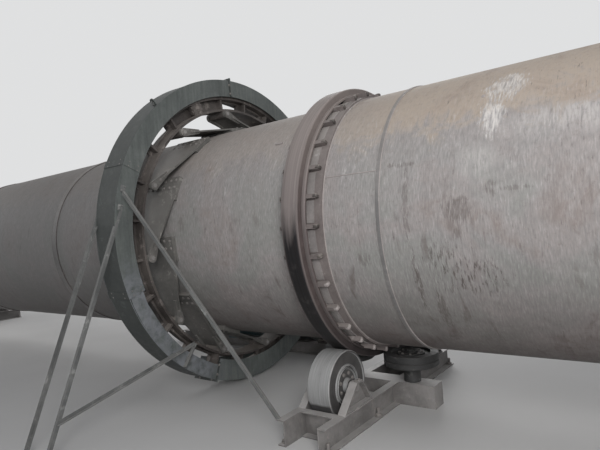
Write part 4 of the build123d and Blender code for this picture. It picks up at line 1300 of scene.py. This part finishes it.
@dataclass(frozen=True)
class GuardPanel:
    """The worn lower panel on the guard's near side, with its dents, in the place of the plain one.

    Each dent has its angle, its radius, how far it reaches round in degrees, and its depth.
    """

    start: float = -68.0
    end: float = -18.4
    opening: float = 1.498
    radius: float = 1.651
    sheet: float = 0.005
    joint: float = 0.006
    steps: int = 90
    dents: tuple[tuple[float, float, float, float], ...] = (
        (-20.2, 1.651, 1.5, 0.014), (-25.0, 1.651, 8.0, 0.018), (-24.5, 1.500, 2.4, 0.007), (-37.0, 1.651, 3.0, 0.006),
        (-60.0, 1.651, 2.2, 0.010), (-66.3, 1.520, 1.8, 0.009), (-48.0, 1.500, 3.5, 0.005))
    dent_reach: float = 0.05
    dent_rise: float = -0.6
    dent_sideways: float = 0.8

    def dent(self, piece: Piece, corner: float) -> None:
        """Press the dents into the half of the panel that faces the tyre.

        Args:
            piece: The panel.
            corner: The radius past which a dent goes inwards; below it the edge is bent outwards.
        """
        middle = sum(LAYOUT.guard_faces) / 2
        for vert in piece.bm.verts:
            out = Vector((0, vert.co.y, vert.co.z - LAYOUT.guard_axis))
            angle = math.degrees(math.atan2(out.z, -out.y))
            for place, radius, turn, depth in self.dents:
                away = ((angle - place) / turn) ** 2 + ((out.length - radius) / self.dent_reach) ** 2
                push = depth * math.exp(-away)
                if vert.co.x > middle:
                    vert.co -= push * out.normalized() * (1 if radius > corner else self.dent_rise)
                    vert.co.x -= self.dent_sideways * push

    def build(self) -> None:
        """Make it."""
        piece = Piece("guard_panel_worn")
        near, far = LAYOUT.guard_faces
        width = near - far
        inner, outer, wall = self.opening, self.radius, self.sheet
        middle = (inner + outer) / 2
        outline = [(inner, 0), (middle, 0), (outer, 0), (outer, width / 2), (outer, width), (inner, width),
                   (inner, width - wall), (outer - wall, width - wall), (outer - wall, width / 2),
                   (outer - wall, wall), (middle, wall), (inner, wall)]
        gap = math.degrees(self.joint / outer)
        piece.turned(wheel(near, self.start + gap, LAYOUT.guard_axis), outline, self.steps, self.end - self.start - gap)
        self.dent(piece, middle)
        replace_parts(piece.done(Body.BASE, Finish.GUARD), "guard_near_bottom")


@dataclass(frozen=True)
class GuardFittings:
    """Edge beads, joint bolts and stay plates of the girth gear's guard.

    Each rim has its first angle, its sweep and its radius, and each plate its angle, radius and size.
    """

    radius: float = 1.651
    edge: float = 0.0045
    edge_steps: int = 240
    rim_steps: int = 150
    rim_inset: float = 0.0025
    rims: tuple[Point, ...] = ((-18.4, 194.4, 1.475), (176.0, 116.0, 1.442))
    flanged: tuple[float, ...] = (86.2, 176.0, 292.0)
    strapped: tuple[float, ...] = (24.0, 341.6)
    flange_wall: float = 0.006
    flange_middle: float = 0.0105
    strap_wall: float = 0.004
    strap_turn: float = 0.75
    strap_head: tuple[float, float] = (0.007, 0.003)
    bolt: float = 0.010
    rows: tuple[float, ...] = (1.505, 1.600)
    columns: tuple[float, ...] = (-0.090, 0.090)
    eyes: tuple[float, ...] = (48.8, 131.2)
    eye_x: float = -1.625
    eye_radius: float = 1.676
    eye_ring: tuple[float, float, int] = (0.021, 0.0065, 32)
    plates: tuple[tuple[float, float, Point], ...] = (
        (15.4, 1.600, (0.050, 0.060, 0.006)), (9.3, 1.606, (0.045, 0.050, 0.010)),
        (-52.2, 1.560, (0.075, 0.060, 0.008)))
    plate_edge: float = 0.0015
    plate_bolt: float = 0.009
    plate_bolt_share: float = 0.3

    def edges(self) -> None:
        """Rolled beads along the guard's outer corners and inner edges."""
        piece = Piece("guard_edges")
        axis = LAYOUT.guard_axis
        for face, inward in zip(LAYOUT.guard_faces, (-1, 1)):
            corner = wheel(face + inward * self.edge, 0, axis)
            piece.bead(corner, self.radius - self.edge / 2, self.edge, self.edge_steps)
            for start, sweep, opening in self.rims:
                rim = wheel(face + inward * self.rim_inset, start, axis)
                piece.bead(rim, opening, self.edge, self.rim_steps, sweep)
        piece.done(Body.BASE, Finish.GUARD)

    def bolts(self) -> None:
        """Bolts through the joint flanges, and rounded heads on the straps."""
        piece = Piece("guard_bolts")
        axis, faces = LAYOUT.guard_axis, LAYOUT.guard_faces
        middle = sum(faces) / 2
        for angle in self.flanged:
            spots = [(face + hand * self.flange_middle, row) for face, hand in zip(faces, (1, -1)) for row in self.rows]
            spots += [(middle + column, self.radius + self.flange_middle) for column in self.columns]
            for (x, radius), hand in product(spots, (-1, 1)):
                seat = wheel(x, angle, axis) @ Matrix.Translation((radius, 0, 0))
                across = hand * (seat.to_3x3() @ Vector((0, 1, 0)))
                piece.bolt(facing(seat.translation + self.flange_wall * across, across), self.bolt)
        for angle, turn in product(self.strapped, (-self.strap_turn, self.strap_turn)):
            for (face, hand), row in product(zip(faces, (1, -1)), self.rows):
                seat = on_wheel(face + hand * self.strap_wall, angle + turn, row, axis)
                piece.dome(facing(seat, (hand, 0, 0)), *self.strap_head)
            for column in self.columns:
                seat = outward(middle + column, angle + turn, self.radius + self.strap_wall, axis)
                piece.dome(seat, *self.strap_head)
        piece.done(Body.BASE, Finish.RIVET)

    def lifting_eyes(self) -> None:
        """A round ring on each of the guard's lifting eyes."""
        piece = Piece("lifting_eye_rings")
        for angle in self.eyes:
            middle = outward(self.eye_x, angle, self.eye_radius, LAYOUT.guard_axis).translation
            piece.bead(facing(middle, ALONG), *self.eye_ring)
        piece.done(Body.BASE, Finish.STAY)

    def stay_plates(self) -> None:
        """Plates that hold the near stays to the guard's face."""
        piece = Piece("stay_plates")
        for angle, radius, size in self.plates:
            seat = wheel(LAYOUT.guard_faces[0], angle, LAYOUT.guard_axis)
            place = placed(seat.to_3x3() @ ALONG, ALONG, seat @ Vector((radius, 0, 0)))
            piece.block(place, size, self.plate_edge)
            for share in (-self.plate_bolt_share, self.plate_bolt_share):
                corner = Matrix.Translation((share * size[0], share * size[1], size[2]))
                piece.bolt(place @ corner, self.plate_bolt)
        piece.done(Body.BASE, Finish.STAY)

    def build(self) -> None:
        """Make them all."""
        self.edges()
        self.bolts()
        self.lifting_eyes()
        self.stay_plates()


@dataclass(frozen=True)
class MotorFittings:
    """Fins, fan cowl, end shield and lid of the motor."""

    radius: float = 0.235
    length: float = 0.760
    steps: int = 56
    fins: int = 44
    fin: Point = (0.420, 0.005, 0.024)
    fin_start: float = 0.175
    fin_sink: float = 0.004
    fin_edge: float = 0.001
    bare_crown: float = 0.42
    foot_share: float = 0.88
    foot_height: float = -0.55
    cowl_seat: float = 0.233
    cowl: tuple[float, float] = (0.248, 0.150)
    cowl_bevel: float = 0.014
    cowl_rim: float = 0.060
    cowl_lip: float = 0.004
    cowl_dish: float = 0.012
    grille: tuple[float, ...] = (0.030, 0.055, 0.080, 0.105, 0.130, 0.155, 0.180)
    wire: float = 0.003
    wire_steps: int = 40
    spokes: int = 4
    spoke_gap: float = 0.020
    spoke_sink: float = 0.005
    shield_seat: float = 0.036
    shield: tuple[tuple[float, float], ...] = ((0.232, 0), (0.250, 0), (0.250, 0.030), (0.225, 0.044), (0.150, 0.044),
                                               (0.150, 0.030))
    shield_bolts: BoltRing = BoltRing(0.205, 8, 0.010, 0.043)
    lid_back: float = 0.340
    box_top: float = 0.325
    lid: Lid = Lid((0.204, 0.184, 0.012), (-0.088, 0.088), (-0.078, 0.078), 0.007)

    @property
    def fan_middle(self) -> Vector:
        """The middle of the motor's fan end."""
        low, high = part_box("motor")
        return Vector((low[0], (low[1] + high[1]) / 2, LAYOUT.pinion[1]))

    def cool(self) -> None:
        """The cooling fins, left out over the crown, below, and where the feet stand."""
        fins = Piece("motor_fins")
        start = self.fan_middle + (self.fin_start + self.fin[0] / 2) * ALONG
        for index in range(self.fins):
            turn = 2 * math.pi * (index + 0.5) / self.fins
            out = Vector((0, math.cos(turn), math.sin(turn)))
            over_foot = out.z < self.foot_height and abs(out.y) < self.foot_share
            if abs(out.y) < self.bare_crown or over_foot:
                continue
            fins.block(placed(ALONG, out, start + (self.radius - self.fin_sink) * out), self.fin, self.fin_edge)
        fins.done(Body.BASE, Finish.DRIVE)

    def fan_end(self) -> None:
        """The fan's cowl with its wire grille."""
        cowl = Piece("motor_cowl")
        radius, length = self.cowl
        rim = radius - self.cowl_rim
        back = facing(self.fan_middle + length * ALONG, (-1, 0, 0))
        outline = [(self.cowl_seat, 0), (radius, 0), (radius, length - self.cowl_bevel),
                   (radius - self.cowl_bevel, length), (rim, length), (rim, length - self.cowl_lip),
                   (self.cowl_seat, length - self.cowl_dish)]
        cowl.turned(back, outline, self.steps)
        for ring in self.grille:
            cowl.bead(back, ring, self.wire, self.wire_steps, height=length - self.wire)
        reach = radius - self.spoke_gap
        for spoke in range(self.spokes):
            across = back @ Matrix.Rotation(math.pi * spoke / self.spokes, 4, "Z")
            tips = [across @ Vector((x, 0, length - self.spoke_sink)) for x in (-reach, reach)]
            cowl.rod(*tips, self.wire)
        cowl.done(Body.BASE, Finish.DRIVE)

    def covers(self) -> None:
        """The end shield and the terminal box's lid, with their bolts."""
        covers = Piece("motor_covers")
        front = facing(self.fan_middle + (self.length - self.shield_seat) * ALONG, ALONG)
        covers.turned(front, self.shield, self.steps)
        self.shield_bolts.add(covers, front)
        box = self.fan_middle + Vector((self.length - self.lid_back, 0, self.box_top))
        self.lid.add(covers, Matrix.Translation(box))
        covers.done(Body.BASE, Finish.DRIVE)

    def build(self) -> None:
        """Make them all."""
        self.cool()
        self.fan_end()
        self.covers()


@dataclass(frozen=True)
class ReducerFittings:
    """Ribs, split-line bolts and lid of the reducer, and the fittings of the pinion's bearings and coupling."""

    deck: float = 0.150
    flange: tuple[float, float] = (0.030, 0.020)
    reach: float = 0.045
    ribs: int = 6
    rib_middle: float = 0.025
    rib_short: float = 0.052
    rib: tuple[float, float] = (0.016, 0.024)
    rib_edge: float = 0.003
    shaft_gaps: tuple[tuple[float, float], ...] = ((0.0, 0.13), (0.43, 0.16))
    split_bolts: int = 7
    split_bolt: tuple[float, float] = (0.013, 0.024)
    lid_sink: float = 0.004
    lid: Lid = Lid((0.200, 0.260, 0.014), (-0.085, 0.085), (-0.110, 0, 0.110), 0.008)
    bearing_x: float = 0.330
    bearing_half: float = 0.075
    bearing_radius: float = 0.114
    end_ring: tuple[tuple[float, float], ...] = ((0.063, 0), (0.100, 0), (0.100, 0.008), (0.070, 0.012), (0.063, 0.012))
    end_steps: int = 40
    end_bolts: BoltRing = BoltRing(0.086, 6, 0.007, 0.009)
    foot_bolt_place: Point = (0.045, 0.168, 0.040)
    foot_bolt: tuple[float, float] = (0.018, 0.036)
    grease_fitting: tuple[float, float] = (0.011, 0.016)
    coupling_length: float = 0.190
    coupling_face: float = 0.038
    coupling_bolts: BoltRing = BoltRing(0.120, 8, 0.012, first=0, reach=0.016)

    def reducer(self) -> None:
        """Ribs, split-line bolts and an inspection lid."""
        low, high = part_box("reducer")
        x0, x1, y0, y1 = low[0] + self.reach, high[0] - self.reach, low[1] + self.reach, high[1] - self.reach
        shaft, z = LAYOUT.pinion
        ribs, bolts = Piece("reducer_ribs"), Piece("reducer_bolts")
        size = (self.rib[0], z - self.deck - self.rib_short, self.rib[1])
        for (face, hand), index in product(((x0, -1), (x1, 1)), range(self.ribs)):
            y = y0 + (y1 - y0) * (index + 0.5) / self.ribs
            if all(abs(y - shaft - middle) > gap for middle, gap in self.shaft_gaps):
                seat = facing((face, y, (z + self.deck) / 2 + self.rib_middle), (hand, 0, 0))
                ribs.block(seat @ Matrix.Rotation(math.pi / 2, 4, "Z"), size, self.rib_edge)
        ribs.done(Body.BASE, Finish.DRIVE)
        out, top = self.flange[0] / 2, z + self.flange[1]
        for index in range(self.split_bolts):
            share = (index + 0.5) / self.split_bolts
            x, y = x0 + (x1 - x0) * share, y0 + (y1 - y0) * share
            spots = [(x0 - out, y), (x1 + out, y)]
            if 0 < index < self.split_bolts - 1:
                spots += [(x, y0 - out), (x, y1 + out)]
            for spot in spots:
                bolts.stud(facing((*spot, top), UP), *self.split_bolt)
        self.lid.add(bolts, Matrix.Translation(((x0 + x1) / 2, (y0 + y1) / 2, high[2] - self.lid_sink)))
        bolts.done(Body.BASE, Finish.DRIVE)

    def bearings(self) -> None:
        """End rings, foot bolts and a grease fitting on each of the pinion's bearings."""
        piece = Piece("bearing_fittings")
        y, z = LAYOUT.pinion
        dx, dy, rise = self.foot_bolt_place
        for middle in (LAYOUT.gear_x + self.bearing_x, LAYOUT.gear_x - self.bearing_x):
            for hand in (-1, 1):
                end = facing((middle + hand * self.bearing_half, y, z), (hand, 0, 0))
                piece.turned(end, self.end_ring, self.end_steps)
                self.end_bolts.add(piece, end)
                for side in (-1, 1):
                    piece.stud(facing((middle + hand * dx, y + side * dy, self.deck + rise), UP), *self.foot_bolt)
            piece.dome(Matrix.Translation((middle, y, z + self.bearing_radius)), *self.grease_fitting)
        piece.done(Body.BASE, Finish.GEAR)

    def coupling(self) -> None:
        """Nuts on both flanges of the slow coupling."""
        piece = Piece("coupling_bolts")
        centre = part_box("slow_coupling")[1][0] - self.coupling_length / 2
        for hand in (-1, 1):
            self.coupling_bolts.add(piece, facing((centre + hand * self.coupling_face, *LAYOUT.pinion), (hand, 0, 0)))
        piece.done(Body.PINION, Finish.RIVET)

    def build(self) -> None:
        """Make them all."""
        self.reducer()
        self.bearings()
        self.coupling()


@dataclass(frozen=True)
class Lamp:
    """A soft square lamp: its place and the point that it looks at, its side, its power and its spread."""

    name: str
    place: Point
    aim: Point
    size: float
    power: float
    spread: float = 180.0

    def hang(self) -> None:
        """Put it into the scene."""
        data = bpy.data.lights.new(self.name, "AREA")
        data.size, data.energy, data.spread = self.size, self.power, math.radians(self.spread)
        lamp = add_object(self.name, data)
        lamp.location = self.place
        lamp.rotation_euler = (Vector(self.aim) - Vector(self.place)).to_track_quat("-Z", "Y").to_euler()


@dataclass(frozen=True)
class Studio:
    """Floor, light and the camera at the photograph's angle."""

    place: Point = (2.30395, -4.14199, 1.66351)
    yaw: float = 0.645249
    pitch: float = 0.001084
    roll: float = 0.074976
    lens: float = 30.0
    sensor: float = 36.0
    sight: float = 200.0
    lamps: tuple[Lamp, ...] = (
        Lamp("key", (4.6, -6.0, 3.4), (0.2, -0.4, 1.75), 2.8, 172, 115),
        Lamp("top", (1.4, -2.6, 6.0), (0.5, -0.4, 1.6), 2.6, 34),
        Lamp("back", (-7.0, 13.0, 8.0), (-5.5, 0, 1.0), 9.0, 1300),
        Lamp("end", (-24.0, -2.0, 6.0), (-12.0, 0, 1.2), 5.0, 420),
        Lamp("rear", (-14.5, -8.5, 5.0), (-13.0, 0, 1.4), 5.0, 260, 80))
    sky: tuple[float, float, float, float] = (0.94, 0.96, 1.0, 1)
    fill: float = 0.31
    backdrop: tuple[float, float, float, float] = (0.74, 0.745, 0.75, 1)
    floor_half: float = 60.0
    floor_tones: tuple[Colour, Colour] = ((0.50, 0.495, 0.49), (0.55, 0.545, 0.54))
    floor_roughness: float = 0.8

    def camera(self) -> None:
        """Place the camera as the photograph was taken."""
        forward = Vector((-math.sin(self.yaw) * math.cos(self.pitch),
                          math.cos(self.yaw) * math.cos(self.pitch), math.sin(self.pitch)))
        level = Vector((math.cos(self.yaw), math.sin(self.yaw), 0))
        down = forward.cross(level)
        right = math.cos(self.roll) * level + math.sin(self.roll) * down
        up = -(math.cos(self.roll) * down - math.sin(self.roll) * level)
        data = bpy.data.cameras.new("camera")
        data.lens, data.sensor_width, data.clip_end = self.lens, self.sensor, self.sight
        camera = add_object("camera", data)
        camera.matrix_world = Matrix.Translation(self.place) @ Matrix((right, up, -forward)).transposed().to_4x4()
        bpy.context.scene.camera = camera

    def world(self) -> None:
        """A pale world whose backdrop is brighter for the camera than the light that it gives."""
        world = bpy.data.worlds.new("studio")
        world.use_nodes = True
        nodes, links = world.node_tree.nodes, world.node_tree.links
        nodes.clear()
        output, blend = nodes.new("ShaderNodeOutputWorld"), nodes.new("ShaderNodeMixShader")
        path = nodes.new("ShaderNodeLightPath").outputs
        for socket, colour, strength in ((1, self.sky, self.fill), (2, self.backdrop, 1.0)):
            light = nodes.new("ShaderNodeBackground")
            light.inputs["Color"].default_value, light.inputs["Strength"].default_value = colour, strength
            links.new(light.outputs[0], blend.inputs[socket])
        rays = path["Is Camera Ray"]
        for other in ("Is Glossy Ray", "Is Transmission Ray"):
            either = nodes.new("ShaderNodeMath")
            either.operation = "MAXIMUM"
            links.new(rays, either.inputs[0])
            links.new(path[other], either.inputs[1])
            rays = either.outputs[0]
        links.new(rays, blend.inputs[0])
        links.new(blend.outputs[0], output.inputs[0])
        bpy.context.scene.world = world

    def floor(self) -> None:
        """A plain pale floor."""
        bm = bmesh.new()
        bmesh.ops.create_grid(bm, x_segments=1, y_segments=1, size=self.floor_half)
        mesh = bpy.data.meshes.new("floor")
        bm.to_mesh(mesh)
        bm.free()
        g = Graph("floor_finish")
        tone = g.spread(g.noise(0.6, 3, 0.5), 0.3, 0.7)
        mesh.materials.append(g.finish(g.mix(tone, *self.floor_tones), self.floor_roughness))
        add_object("floor", mesh)

    def build(self) -> None:
        """Set the whole stage."""
        self.camera()
        for lamp in self.lamps:
            lamp.hang()
        self.world()
        self.floor()
        bpy.context.scene.view_settings.view_transform = "Standard"


def main() -> None:
    """Dress the solids, build the fittings and set the stage."""
    dress_solids()
    stations = [StationFittings(name, x) for name, x in zip(("thrust", "rear"), LAYOUT.stations)]
    for fittings in (ShellFittings(), TyreFittings(), *stations, ThrustFittings(), GearFittings(), NearStays(),
                     GuardPanel(), GuardFittings(), MotorFittings(), ReducerFittings()):
        fittings.build()
    Studio().build()


if __name__ == "__main__":
    main()
